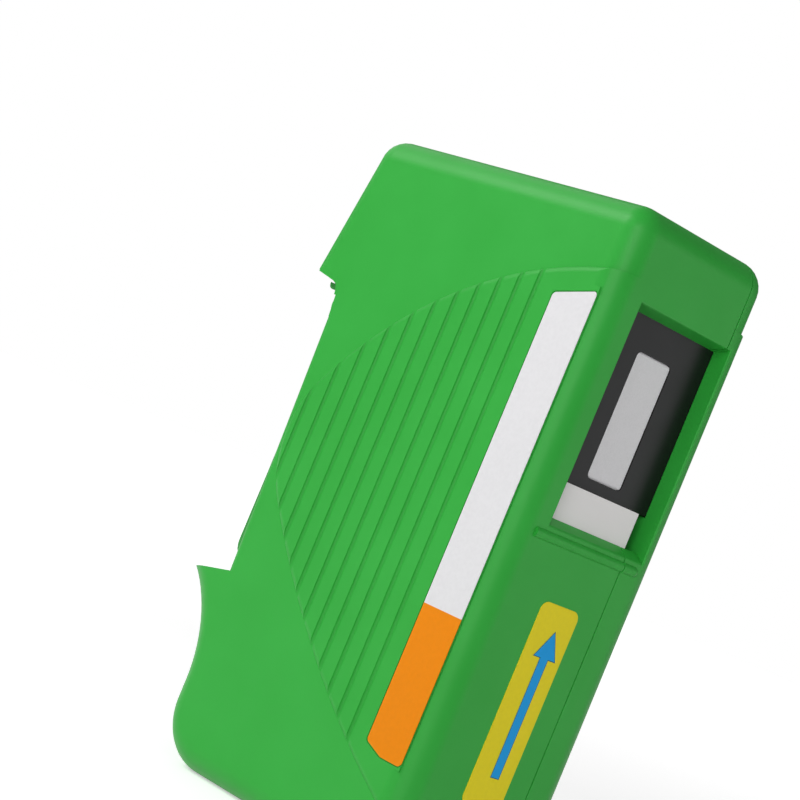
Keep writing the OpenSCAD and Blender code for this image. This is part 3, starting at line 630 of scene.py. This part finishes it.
class Finishes:
    """All finishes, built once."""

    def __init__(self) -> None:
        """Builds every material."""
        yellow, blue, navy = (0.98, 0.82, 0.02), (0.012, 0.41, 0.94), (0.012, 0.12, 0.20)
        white, orange = (0.84, 0.83, 0.85), (0.93, 0.27, 0.002)
        specs = {
            "green_case": Moulded(
                "green case plastic", (0.035, 0.442, 0.053), (0.030, 0.420, 0.046), ior=1.34
            ),
            # The lever's colour is the case green made darker: painted shade for the lever, which sits in the
            # shaded corner under the upper horn.
            "green_lever": Moulded("green lever plastic in painted shade", (0.036, 0.33, 0.05), (0.03, 0.30, 0.043)),
            "steel": Metal("plated steel", (0.62, 0.62, 0.64)),
            "spring_steel": Metal("spring steel", (0.5, 0.5, 0.52), 0.25),
            "front_label": Film("white and orange film", white, orange, split=42.2),
            "direction_label": Film("yellow film", yellow, yellow),
            "arrow_ink": Film("blue ink", blue, blue),
            "arrow_rim": Film("dark blue ink", navy, navy),
            "acetal": Moulded("natural acetal", (0.80, 0.80, 0.76), (0.76, 0.76, 0.72), 0.35, glow=0.3),
            "white_shutter": Moulded("white shutter plastic", (0.97, 0.94, 0.94), (0.95, 0.92, 0.92), 0.5),
            "black_plate": Moulded(
                "black plate plastic", (0.010, 0.010, 0.011), (0.008, 0.008, 0.009), 0.34, ior=1.33
            ),
            "grey_carrier": Moulded("grey carrier plastic", (0.12, 0.12, 0.13), (0.10, 0.10, 0.11), 0.5),
            "pad": Foam("pad foam", (0.3, 0.3, 0.31)),
            "tape": Cloth("cleaning cloth", (0.97, 0.95, 0.98)),
            "used_tape": Cloth("used cleaning cloth", (0.5, 0.49, 0.5)),
            "reel": Moulded("reel plastic", (0.60, 0.61, 0.63), (0.55, 0.56, 0.58), 0.35, glow=0.3),
        }
        self.materials = {slot: spec.build() for slot, spec in specs.items()}

    def node(self, name: str, slot: str) -> None:
        """Dresses a solid of the frame that stays.

        Args:
            name: name of the solid.
            slot: its finish.
        """
        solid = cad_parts[name]
        for holder in solid.material_slots:
            holder.material = self.materials[slot]
        if not solid.material_slots:
            solid.data.materials.append(self.materials[slot])
        LOG.info("%s keeps its solid in %s", name, slot)

    def piece(self, piece: Piece, slot: str, body: Body, *nodes: str, finish: str | None = None) -> None:
        """Dresses a new piece and lets it ride.

        Args:
            piece: the piece.
            slot: the record's slot that it takes its finish from.
            body: the body that it rides on.
            nodes: the solids that it stands for.
            finish: another finish than the slot's own.
        """
        piece.data.materials.clear()
        piece.data.materials.append(self.materials[finish or slot])
        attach(piece, body.value)
        if nodes:
            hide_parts(*nodes)
        faces = len(piece.data.polygons)
        LOG.info("%s rides on %s in %s, %d faces", piece.name, body.value, finish or slot, faces)


# The case


@dataclass
class Labels:
    """The two printed films and the arrow. Boxes are left, right, foot and top, as their face is seen."""

    front_box: Box = (19.85, 28.65, 17.8, 96.5)
    front_slant: float = 2.1
    front_chamfer: Point = (4.0, 1.4)
    front_radii: tuple[float, ...] = (0.8, 0.6, 0.9, 0.6, 0.8)
    front_level: float = 17.52
    seat_gap: float = 0.16
    seat_reach: Box = (-0.1, 0.1, -0.6, 0.8)
    seat_depth: float = 0.22
    side_box: Box = (-5.25, 3.95, 15.7, 49.7)
    side_radius: float = 1.5
    side_level: float = 31.49
    film: float = 0.12
    film_edge: float = 0.04
    film_turn: float = 60
    ink: float = 0.03
    rim_ink: float = 0.015
    rim_sink: float = 0.005
    rim_width: float = 0.14
    arrow: tuple[Point, ...] = (
        (0.05, 45.45), (-2.52, 41.15), (-0.92, 41.15), (-0.92, 21.0),
        (0.88, 21.0), (0.88, 41.15), (2.53, 41.15),
    )

    @staticmethod
    def rounded(corners: Sequence[Point], radii: Sequence[float]) -> list[Point]:
        """Rounds the corners of an outline.

        Args:
            corners: corners in mm, in order.
            radii: radius of each corner.

        Returns:
            The rounded outline.
        """
        points: list[Point] = []
        count = len(corners)
        for i, radius in enumerate(radii):
            here, before, after = (Vector(corners[k % count]) for k in (i, i - 1, i + 1))
            u, v = (before - here).normalized(), (after - here).normalized()
            half = u.angle(v) / 2
            reach = radius / math.tan(half)
            centre = here + (u + v).normalized() * radius / math.sin(half)
            start, end = here + u * reach - centre, here + v * reach - centre
            for k in range(CORNER_STEPS + 1):
                turned = start.lerp(end, k / CORNER_STEPS).normalized() * radius
                points.append(tuple(centre + turned))
        return points

    @staticmethod
    def widened(corners: Sequence[Point], by: float) -> list[Point]:
        """Moves an outline's edges outwards.

        Args:
            corners: corners in mm, with the inside on the left.
            by: how far, in mm.

        Returns:
            The wider outline.
        """
        places = [Vector(corner) for corner in corners]
        points: list[Point] = []
        for before, here, after in zip(places[-1:] + places[:-1], places, places[1:] + places[:1]):
            first, second = (here - before).normalized(), (after - here).normalized()
            out = (Vector((first.y, -first.x)) + Vector((second.y, -second.x))).normalized()
            points.append(tuple(here + out * by / math.cos(first.angle(second) / 2)))
        return points

    def front_outline(self, grow: float = 0.0) -> list[Point]:
        """Outline of the front film, with its slanted head and its cut lower corner.

        Args:
            grow: how much larger it is all round, in mm.

        Returns:
            Points in mm, as (x, z).
        """
        left, right, foot, top = (v + d for v, d in zip(self.front_box, (-grow, grow, -grow, grow)))
        cut_x, cut_z = self.front_chamfer
        head = [(left, top - self.front_slant), (right, top)]
        lower = [(right, foot), (left + cut_x, foot), (left, foot + cut_z)]
        return self.rounded(head + lower, self.front_radii)

    def old_seat(self) -> list[Point]:
        """Outline of the solid's own, longer seat, which is filled before the new one is cut."""
        left, right, foot, top = (v + d for v, d in zip(self.front_box, self.seat_reach))
        return [(left, foot), (right, foot), (right, top), (left, top)]

    def build(self, finishes: Finishes) -> None:
        """Models the films and the arrow, which has a dark rim under its ink.

        Args:
            finishes: the finishes.
        """
        front, rear, foot, top = self.side_box
        corners = [(front, foot), (rear, foot), (rear, top), (front, top)]
        outline = self.rounded(corners, (self.side_radius,) * 4)
        front_film = plate("front_film", self.front_outline(), "Y", -self.front_level, -self.film)
        side_film = plate("direction_film", outline, "X", self.side_level, self.film)
        for film, node in ((front_film, "front_label"), (side_film, "direction_label")):
            soften(film, self.film_edge, self.film_turn)
            shade(film, SHARP)
            finishes.piece(film, node, Body.CASE, node)
        level = self.side_level + self.film
        around = self.widened(self.arrow, self.rim_width)
        rim = plate("arrow_rim", around, "X", level - self.rim_sink, self.rim_ink)
        ink = plate("direction_arrow", self.arrow, "X", level, self.ink)
        for print_, finish in ((rim, "arrow_rim"), (ink, "arrow_ink")):
            shade(print_)
            finishes.piece(print_, "direction_label", Body.CASE, finish=finish)


LABEL = Labels()


@dataclass
class CaseShells:
    """The two green shells with their raised ribbed panels, seams and softened window.

    The arcs are centre x, centre z and radius. The boxes are least and greatest value along each axis.
    """

    flat: float = 17.05
    rise: float = 0.6
    right: float = 31.5
    height: float = 112.0
    middle: Point = (2.0, 56.0)
    near: float = 0.02
    clear: float = 1.0

    upper_arc: Place = (39.9, 24.9, 76.55)
    lower_arc: Place = (106.3, 167.95, 175.75)
    end_radius: float = 17.0
    arc_over: float = 6.0
    arc_steps: int = 60
    end_steps: int = 16

    groove_first: float = 15.9
    groove_pitch: float = 3.95
    groove_count: int = 11
    groove_width: float = 1.15
    groove_depth: float = 0.48
    groove_over: float = 4.0
    groove_sides: int = 40
    groove_rim: float = 0.2
    groove_turns: tuple[float, float] = (15, 85)

    soft_width: float = 1.1
    soft_height: float = 0.58
    soft_steps: int = 8
    soft_out: float = 0.6

    window: Box = (-10.45, 13.45, 60.6, 97.8)
    rim_near: float = 0.06
    rim_edge: float = 0.3

    seams: tuple[float, float] = (8.951, 12.351)
    seam_near: float = 0.01
    seam_gap: float = 0.11
    seam_edge: float = 0.1
    seam_turn: float = 50
    seam_band: tuple[float, float] = (8.8, 12.5)
    seam_inside: Box = (-25.5, 31.2, 0.3, 111.7)
    parting_slant: float = 0.999
    wall_slant: float = 0.3

    horn_corner: tuple[Point, ...] = (
        (-34.42, 85.86), (-31.27, 85.25), (-30.16, 85.05), (-29.07, 84.65), (-28.35, 83.98), (-28.1, 83.3),
        (-28.02, 82.5), (-27.85, 81.0), (-27.6, 79.0), (-25.0, 79.0), (-25.0, 87.0), (-33.6, 87.0),
    )
    horn_wall: float = 2.2
    corner_box: Box = (-33.0, -27.0, 80.0, 85.8)
    corner_edge: float = 0.35

    seat_fill: float = 0.4
    screws: tuple[Point, ...] = ((20.5, 6.5), (-17.0, 8.5), (24.5, 105.0), (-22.0, 104.0))
    bore_radius: float = 2.35
    bore_length: float = 6.0
    bore_rise: float = 1.4

    def outline(self, inset: float) -> list[Point]:
        """Outline of the raised panel: two arcs that meet in a rounded end, open beyond the window side.

        Args:
            inset: how far inside the panel's edge it runs, in mm.

        Returns:
            Points in mm, as (x, z).
        """
        ux, uz, ur = self.upper_arc
        lx, lz, lr = self.lower_arc
        ur, lr, er = ur - inset, lr - inset, self.end_radius - inset
        # The end circle touches both arcs from inside, so its centre is this far from both centres.
        du, dl = ur - er, lr - er
        gap = math.hypot(lx - ux, lz - uz)
        along = (du * du - dl * dl + gap * gap) / (2 * gap)
        off = math.sqrt(du * du - along * along)
        dx, dz = (lx - ux) / gap, (lz - uz) / gap
        ex, ez = ux + dx * along - dz * off, uz + dz * along + dx * off
        upper = math.degrees(math.atan2(ez - uz, ex - ux))
        lower = math.degrees(math.atan2(ez - lz, ex - lx)) % 360
        right = self.right + self.arc_over
        upper_start = math.degrees(math.asin((right - ux) / ur))
        lower_end = 180 + math.degrees(math.acos((lx - right) / lr))
        points = arc((ux, uz), ur, 90 - upper_start, upper % 360, self.arc_steps)
        points += arc((ex, ez), er, upper % 360, lower, self.end_steps)[1:-1]
        points += arc((lx, lz), lr, lower, lower_end, self.arc_steps)
        return points

    def edge_band(self, side: Side) -> Piece:
        """A band along the raised panel's edge whose underside is the edge's soft curve.

        Args:
            side: the large face that it works on.

        Returns:
            The band, to cut with.
        """
        top = self.flat + self.rise
        foot, over = top - self.soft_height, top + self.clear
        section = [(-self.soft_out, foot)]
        for i in range(self.soft_steps + 1):
            turn = math.radians(90 * i / self.soft_steps)
            section.append((self.soft_width * (1 - math.cos(turn)), foot + self.soft_height * math.sin(turn)))
        section += [(self.soft_width, over), (-self.soft_out, over)]
        sweep = [[(x, side.value * level, z) for x, z in self.outline(inset)] for inset, level in section]
        sides, length = len(section), len(sweep[0])
        corners = [Vector(line[i]) * MM for i in range(length) for line in sweep]
        faces = []
        for row in range(0, (length - 1) * sides, sides):
            for k in range(sides):
                beside = (k + 1) % sides
                faces.append((row + k, row + beside, row + sides + beside, row + sides + k))
        faces += [tuple(range(sides)), tuple(range((length - 1) * sides, length * sides))]
        band = from_faces("band", corners, faces)
        open_mesh(band)
        face_outwards()
        return band

    def grooves(self, side: Side) -> Piece:
        """Bars that cut the grooves of one face.

        Args:
            side: the large face that it works on.

        Returns:
            The bars, as one piece.
        """
        bow = (self.groove_width**2 / 4 + self.groove_depth**2) / (2 * self.groove_depth)
        level = side.value * (self.flat + self.rise + bow - self.groove_depth)
        centre = (self.groove_first, level, self.height / 2)
        first = bar("groove", centre, bow, self.height + self.groove_over, "Z", self.groove_sides)
        repeat = first.modifiers.new("repeat", "ARRAY")
        repeat.count = self.groove_count
        repeat.use_relative_offset = False
        repeat.use_constant_offset = True
        repeat.constant_offset_displace = (-self.groove_pitch * MM, 0, 0)
        take(first)
        bpy.ops.object.modifier_apply(modifier=repeat.name)
        return first

    def on_rim(self, edge: Edge) -> bool:
        """Tests for the window's outer rim on the side face.

        Args:
            edge: the edge.

        Returns:
            True if the edge is one.
        """
        ends = [v.co / MM for v in edge.verts]
        if min(p.x for p in ends) < self.right - self.rim_near or edge_turn(edge) < SHARP:
            return False
        front, rear, foot, top = self.window
        near = self.rim_near
        return all(front - near < p.y < rear + near and foot - near < p.z < top + near for p in ends)

    def on_corner(self, edge: Edge) -> bool:
        """Tests for the outer edge of the upper horn's filled corner.

        Args:
            edge: the edge.

        Returns:
            True if the edge is one.
        """
        ends = [v.co / MM for v in edge.verts]
        left, right, foot, top = self.corner_box
        on_face = edge_turn(edge) > SHARP and all(abs(p.y + self.flat) < self.near for p in ends)
        return on_face and all(left < p.x < right and foot < p.z < top for p in ends)

    def on_groove(self, edge: Edge) -> bool:
        """Tests for the upright rims of the grooves on a panel's flat.

        Args:
            edge: the edge.

        Returns:
            True if the edge is one.
        """
        a, b = (v.co / MM for v in edge.verts)
        on_panel = all(abs(abs(p.y) - self.flat - self.rise) < self.near for p in (a, b))
        least, most = self.groove_turns
        return on_panel and abs(a.x - b.x) < self.near and least < edge_turn(edge) < most

    def on_seam(self, edge: Edge) -> bool:
        """Tests for the outer edges along the parting line.

        Args:
            edge: the edge.

        Returns:
            True if the edge is one.
        """
        if edge_turn(edge) < self.seam_turn:
            return False
        parting = [f for f in edge.link_faces if abs(f.normal.y) > self.parting_slant]
        walls = [f for f in edge.link_faces if abs(f.normal.y) < self.wall_slant]
        if len(parting) != 1 or len(walls) != 1:
            return False
        a, b = (v.co for v in edge.verts)
        x, y, z = (a + b) / 2 / MM
        front, rear = self.seam_band
        left, right, foot, top = self.seam_inside
        if not front < y < rear or (left <= x <= right and foot <= z <= top):
            return False
        return walls[0].normal.dot(Vector((x - self.middle[0], 0, z - self.middle[1]))) > 0

    def open_seam(self, piece: Piece, side: Side) -> None:
        """Draws a shell's parting faces back a little, so that the parting line shows.

        Args:
            piece: the shell.
            side: its large face.
        """
        for vertex in piece.data.vertices:
            if any(abs(vertex.co.y - seam * MM) < self.seam_near * MM for seam in self.seams):
                vertex.co.y += side.value * self.seam_gap * MM

    def shell(self, node: str, side: Side, finishes: Finishes) -> None:
        """Models one shell.

        Args:
            node: the solid that it stands for.
            side: its large face.
            finishes: the finishes.
        """
        piece = copy_of(node, node.replace("_shell", "_case"))
        level = self.flat + self.rise
        if side is Side.FRONT:
            carve(piece, plate("fill", LABEL.old_seat(), "Y", -level, self.seat_fill), "UNION")
            carve(piece, plate("corner", self.horn_corner, "Y", -self.flat, self.horn_wall), "UNION")
            round_edges(piece, self.on_corner, self.corner_edge, segments=3)
        carve(piece, self.edge_band(side), "DIFFERENCE")
        carve(piece, self.grooves(side), "DIFFERENCE")
        if side is Side.FRONT:
            outline = LABEL.front_outline(LABEL.seat_gap)
            seat = plate("seat", outline, "Y", -level - self.clear, self.clear + LABEL.seat_depth)
            carve(piece, seat, "DIFFERENCE")
        else:
            for x, z in self.screws:
                centre = (x, self.flat + self.bore_rise, z)
                bore = bar("bore", centre, self.bore_radius, self.bore_length, "Y", ROUND_SIDES)
                carve(piece, bore, "DIFFERENCE")
        round_edges(piece, self.on_groove, self.groove_rim, segments=2)
        round_edges(piece, self.on_rim, self.rim_edge, segments=3)
        self.open_seam(piece, side)
        round_edges(piece, self.on_seam, self.seam_edge, segments=1)
        shade(piece)
        finishes.piece(piece, "green_case", Body.CASE, node)

    def build(self, finishes: Finishes) -> None:
        """Models both shells."""
        self.shell("front_shell", Side.FRONT, finishes)
        self.shell("rear_shell", Side.BACK, finishes)


@dataclass
class SoftenedSolids:
    """Rigid pieces that keep their solids' forms and get rounded edges.

    Each row is the solid, the new piece's name, its slot, its body and the width of its edges.
    """

    pieces: tuple[tuple[str, str, str, Body, float], ...] = (
        ("lever", "press_lever", "green_lever", Body.LEVER, 0.3),
        ("shutter", "sliding_door", "white_shutter", Body.SHUTTER, 0.12),
        ("tape_plate", "slotted_plate", "black_plate", Body.CASE, 0.2),
        ("case_screws", "screws", "steel", Body.CASE, 0.08),
    )

    def build(self, finishes: Finishes) -> None:
        """Models each piece.

        Args:
            finishes: the finishes.
        """
        for node, name, slot, body, width in self.pieces:
            piece = copy_of(node, name)
            soften(piece, width)
            shade(piece, SHARP)
            finishes.piece(piece, slot, body, node)


@dataclass
class Mechanism:
    """The works inside the case, which keep their solids."""

    solids: tuple[tuple[str, tuple[str, ...]], ...] = (
        ("steel", ("lever_pin", "upper_guide_pin", "lower_guide_pin")),
        ("spring_steel", ("lever_spring", "anti_reverse_pawl", "supply_brake_spring")),
        ("acetal", ("drive_sector", "drive_gear", "take_up_gear")),
        ("reel", ("take_up_reel", "supply_reel")),
        ("black_plate", ("reel_retainers",)),
        ("grey_carrier", ("pad_carrier",)),
    )

    def build(self, finishes: Finishes) -> None:
        """Dresses the solids, slot by slot.

        Args:
            finishes: the finishes.
        """
        for slot, nodes in self.solids:
            for node in nodes:
                finishes.node(node, slot)


@dataclass
class CushionPad:
    """The soft pad under the tape: a crowned block with drawn-in sides."""

    edge: float = 0.5
    edge_turn: float = 50
    cuts: int = 7
    crown: float = 0.12
    pull: float = 0.15
    smooth: float = 60

    def build(self, finishes: Finishes) -> None:
        """Models the pad in the space that its solid holds.

        Args:
            finishes: the finishes.
        """
        low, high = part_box("cushion_pad")
        middle, half = (low + high) / 2, (high - low) / 2
        deselect()
        bpy.ops.mesh.primitive_cube_add(size=1, location=middle)
        piece = bpy.context.active_object
        piece.name = "soft_pad"
        piece.scale = high - low
        settle(piece)
        soften(piece, self.edge, self.edge_turn, segments=3)
        open_mesh(piece)
        bpy.ops.mesh.subdivide(number_cuts=self.cuts)
        bpy.ops.object.mode_set(mode="OBJECT")
        for vertex in piece.data.vertices:
            y = (vertex.co.y - middle.y) / half.y
            z = (vertex.co.z - middle.z) / half.z
            bulge = (1 - y * y) * (1 - z * z)
            if vertex.co.x > middle.x:
                vertex.co.x -= self.crown * MM * (1 - bulge)
            vertex.co.y -= y * self.pull * MM * (1 - abs(z) ** 3)
        shade(piece, self.smooth)
        finishes.piece(piece, "pad", Body.CASE, "cushion_pad")


@dataclass
class TapePath:
    """The run of the tape over its two guides, from the fresh roll to the used one.

    The slot is its middle and half its width along Y, then its foot and head along Z.
    """

    front: float = -5.55
    rear: float = 6.05
    cloth: float = 0.24
    lanes: int = 46
    smooth: float = 60
    guide: float = 1.66
    upper: Point = (25.785, 96.8)
    lower: Point = (25.785, 64.2)
    over_steps: int = 12
    under_steps: int = 8
    across_steps: int = 110
    fresh: Point = (-1.0325, 75.2865)
    fresh_radius: float = 18.337
    fresh_turn: float = 99.701
    used: Point = (3.51288, 21.7665)
    used_radius: float = 8.95
    used_turn: float = -40.4724
    slot: Box = (1.05, 4.27, 69.92, 91.38)
    dome_from: float = 26.445
    dome_rise: float = 0.5
    dome_edge: float = 0.3
    dome_flank: float = 10.0
    flank_inside: float = 0.02
    flank_outside: float = 0.01

    def points(self) -> list[Point]:
        """Middle line of the free tape.

        Returns:
            Points in mm, as (x, z).
        """
        start = on_circle(self.fresh, self.fresh_radius, self.fresh_turn)
        over = arc(self.upper, self.guide, self.fresh_turn, 0, self.over_steps)
        under = arc(self.lower, self.guide, 0, self.used_turn, self.under_steps)
        end = on_circle(self.used, self.used_radius, self.used_turn + 180)
        x, high = over[-1]
        fall = under[0][1] - high
        across = [(x, high + fall * i / self.across_steps) for i in range(1, self.across_steps)]
        return [start, *over, *across, *under, end]

    def dome(self, piece: Piece) -> None:
        """Lets the pad press the tape out through the slot.

        The two lanes nearest to each long side of the slot first move onto it and stand as a steep flank.

        Args:
            piece: the free tape.
        """
        middle, half, foot, head = self.slot
        lane = (self.rear - self.front) / self.lanes
        for vertex in piece.data.vertices:
            x, y, z = vertex.co / MM
            if x <= self.dome_from:
                continue
            out = abs(y - middle)
            if foot < z < head and half - lane / 2 < out < half + lane * 1.5:
                out = half - self.flank_inside if out < half + lane / 2 else half + self.flank_outside
                vertex.co.y = (middle + math.copysign(out, y - middle)) * MM
            inside = min((half - out) * self.dome_flank, z - foot, head - z)
            if inside > 0:
                share = min(inside / self.dome_edge, 1.0)
                vertex.co.x += self.dome_rise * MM * math.sin(share * math.pi / 2)

    def ribbon(self, name: str, points: Sequence[Point], thickness: float, lanes: int = 1) -> Piece:
        """Makes a ribbon of the tape's width along a line.

        Args:
            name: name of the new piece.
            points: middle line in mm, as (x, z).
            thickness: thickness of the cloth, in mm.
            lanes: number of faces across its width.

        Returns:
            The ribbon, a closed mesh.
        """
        step = (self.rear - self.front) / lanes
        corners = [Vector((x, self.front + step * k, z)) * MM for x, z in points for k in range(lanes + 1)]
        rows = range(0, len(corners) - lanes - 1, lanes + 1)
        faces = [(i + k, i + k + 1, i + k + lanes + 2, i + k + lanes + 1) for i in rows for k in range(lanes)]
        piece = from_faces(name, corners, faces)
        take(piece)
        wall = piece.modifiers.new("cloth", "SOLIDIFY")
        wall.thickness = thickness * MM
        wall.offset = 0.0
        bpy.ops.object.modifier_apply(modifier=wall.name)
        open_mesh(piece)
        face_outwards()
        return piece

    def build(self, finishes: Finishes) -> None:
        """Models the free tape.

        Args:
            finishes: the finishes.
        """
        points = self.points()
        piece = self.ribbon("free_tape", points, self.cloth, self.lanes)
        self.dome(piece)
        shade(piece, self.smooth)
        finishes.piece(piece, "tape", Body.CASE, "cleaning_tape")


@dataclass
class TapeRoll:
    """A roll of tape, wound turn by turn."""

    name: str
    node: str
    slot: str
    body: Body
    reel: str
    centre: Point
    radius: float
    core: float = 7.5
    core_gap: float = 0.02
    pitch: float = 0.3
    cloth: float = 0.2
    steps: int = 56

    def points(self) -> list[Point]:
        """Middle line of the wound tape.

        Returns:
            Points in mm, as (x, z).
        """
        first, last = self.core + self.cloth / 2 + self.core_gap, self.radius - self.cloth / 2
        count = int((last - first) / self.pitch * self.steps)
        line = []
        for i in range(count + 1):
            turn = math.tau * i / self.steps
            reach = first + (last - first) * i / count
            line.append((self.centre[0] + reach * math.cos(turn), self.centre[1] + reach * math.sin(turn)))
        return line

    def build(self, path: TapePath, finishes: Finishes) -> None:
        """Models the roll.

        Args:
            path: the run of the tape, which gives its width.
            finishes: the finishes.
        """
        points = self.points()
        piece = path.ribbon(self.name, points, self.cloth)
        shade(piece, SHARP)
        finishes.piece(piece, self.slot, self.body, self.node)


# The studio


@dataclass(frozen=True)
class Lamp:
    """A square soft light: its place and the length of its side in metres, and its power in watts."""

    name: str
    place: Place
    size: float
    power: float

    def build(self, target: Place) -> None:
        """Adds the light.

        Args:
            target: the point that it looks at, in metres.
        """
        data = bpy.data.lights.new(self.name, "AREA")
        data.shape, data.size, data.energy = "SQUARE", self.size, self.power
        made = bpy.data.objects.new(self.name, data)
        made.location = self.place
        made.rotation_euler = (Vector(target) - Vector(self.place)).to_track_quat("-Z", "Y").to_euler()
        bpy.context.scene.collection.objects.link(made)


@dataclass
class Studio:
    """Camera, soft lights and the white floor. Lengths are in metres, but for the lens and the sensor."""

    eye: Place = (0.291081, -0.295312, 0.059394)
    right: Place = (0.641137, 0.66351, 0.385615)
    up: Place = (-0.247208, -0.297133, 0.92228)
    back: Place = (0.72652, -0.686635, -0.026477)
    lens: float = 112.4726
    sensor: float = 36.0
    clip: tuple[float, float] = (0.01, 20.0)
    target: Place = (0.0, 0.0, 0.06)
    lamps: tuple[Lamp, ...] = (
        Lamp("key", (-0.34, -0.42, 0.46), 0.3, 2.15),
        Lamp("left", (-0.6, 0.05, 0.5), 0.6, 0.9),
        Lamp("fill", (0.5, -0.7, 0.3), 0.5, 3.0),
        Lamp("rear", (0.75, 0.7, 0.12), 0.7, 1.6),
    )
    surround: float = 0.16
    floor_radius: float = 3.0
    floor_sides: int = 96
    floor_level: float = -0.0001
    floor_colour: Colour = (0.86, 0.86, 0.86)
    floor_light: float = 0.5
    floor_near: float = 0.25
    floor_far: float = 1.0

    def camera(self) -> None:
        """Places the camera at the photograph's viewpoint."""
        data = bpy.data.cameras.new("view")
        data.lens, data.sensor_width = self.lens, self.sensor
        data.clip_start, data.clip_end = self.clip
        made = bpy.data.objects.new("view", data)
        turn = Matrix((self.right, self.up, self.back)).transposed()
        made.matrix_world = Matrix.Translation(self.eye) @ turn.to_4x4()
        bpy.context.scene.collection.objects.link(made)
        bpy.context.scene.camera = made

    def white_when_seen(self, floor: Recipe) -> None:
        """Adds light that only straight views and reflections see, full where the floor is far away.

        Args:
            floor: the floor's material.
        """
        rays = floor.node("ShaderNodeLightPath").outputs
        seen = combine("MAXIMUM", rays["Is Camera Ray"], rays["Is Glossy Ray"])
        reach = floor.node("ShaderNodeVectorMath")
        reach.operation = "LENGTH"
        floor.tree.links.new(floor.place, reach.inputs[0])
        light = floor.node(
            "ShaderNodeMapRange", Value=reach.outputs["Value"],
            From_Min=self.floor_near, From_Max=self.floor_far, To_Min=self.floor_light, To_Max=1.0,
        )
        floor.feed("Emission Strength", combine("MULTIPLY", seen, light.outputs["Result"]))

    def world(self) -> None:
        """A white surround that lights softly and shows white."""
        world = bpy.data.worlds.new("surround")
        bpy.context.scene.world = world
        world.use_nodes = True
        tree = world.node_tree
        shader = tree.nodes["Background"]
        shader.inputs["Color"].default_value = (*WHITE, 1.0)
        rays = tree.nodes.new("ShaderNodeLightPath").outputs
        seen = combine("MAXIMUM", rays["Is Camera Ray"], rays["Is Transmission Ray"])
        level = tree.nodes.new("ShaderNodeMapRange")
        level.inputs["To Min"].default_value = self.surround
        level.inputs["To Max"].default_value = 1.0
        tree.links.new(seen, level.inputs["Value"])
        tree.links.new(level.outputs["Result"], shader.inputs["Strength"])

    def floor(self) -> None:
        """A large pale floor under the case."""
        deselect()
        place = (0, 0, self.floor_level)
        bpy.ops.mesh.primitive_circle_add(
            vertices=self.floor_sides, radius=self.floor_radius, fill_type="NGON", location=place
        )
        made = settle(bpy.context.active_object)
        made.name = "floor"
        recipe = Recipe("white floor", Roughness=0.9, Base_Color=self.floor_colour, Emission_Color=WHITE)
        recipe.bump(recipe.noise(grain=2, detail=3), depth=0.01, strength=0.2)
        self.white_when_seen(recipe)
        made.data.materials.append(recipe.material)

    def build(self) -> None:
        """Sets up the studio."""
        self.camera()
        self.floor()
        self.world()
        for lamp in self.lamps:
            lamp.build(self.target)
        bpy.context.scene.view_settings.view_transform = "Standard"


def main() -> None:
    """Builds the camera, the case, its labels and its works, and reports them."""
    logging.basicConfig(level=logging.INFO, format="%(name)s: %(message)s")
    Studio().build()
    finishes = Finishes()
    CaseShells().build(finishes)
    LABEL.build(finishes)
    SoftenedSolids().build(finishes)
    Mechanism().build(finishes)
    CushionPad().build(finishes)
    tape = TapePath()
    tape.build(finishes)
    fresh = TapeRoll("fresh_roll", "supply_tape", "tape", Body.SUPPLY, "supply_reel", tape.fresh, 17.887)
    used = TapeRoll("used_roll", "take_up_tape", "used_tape", Body.TAKE_UP, "take_up_reel", tape.used, 8.5)
    for roll in (fresh, used):
        roll.build(tape, finishes)
    deselect()


if __name__ == "__main__":
    main()
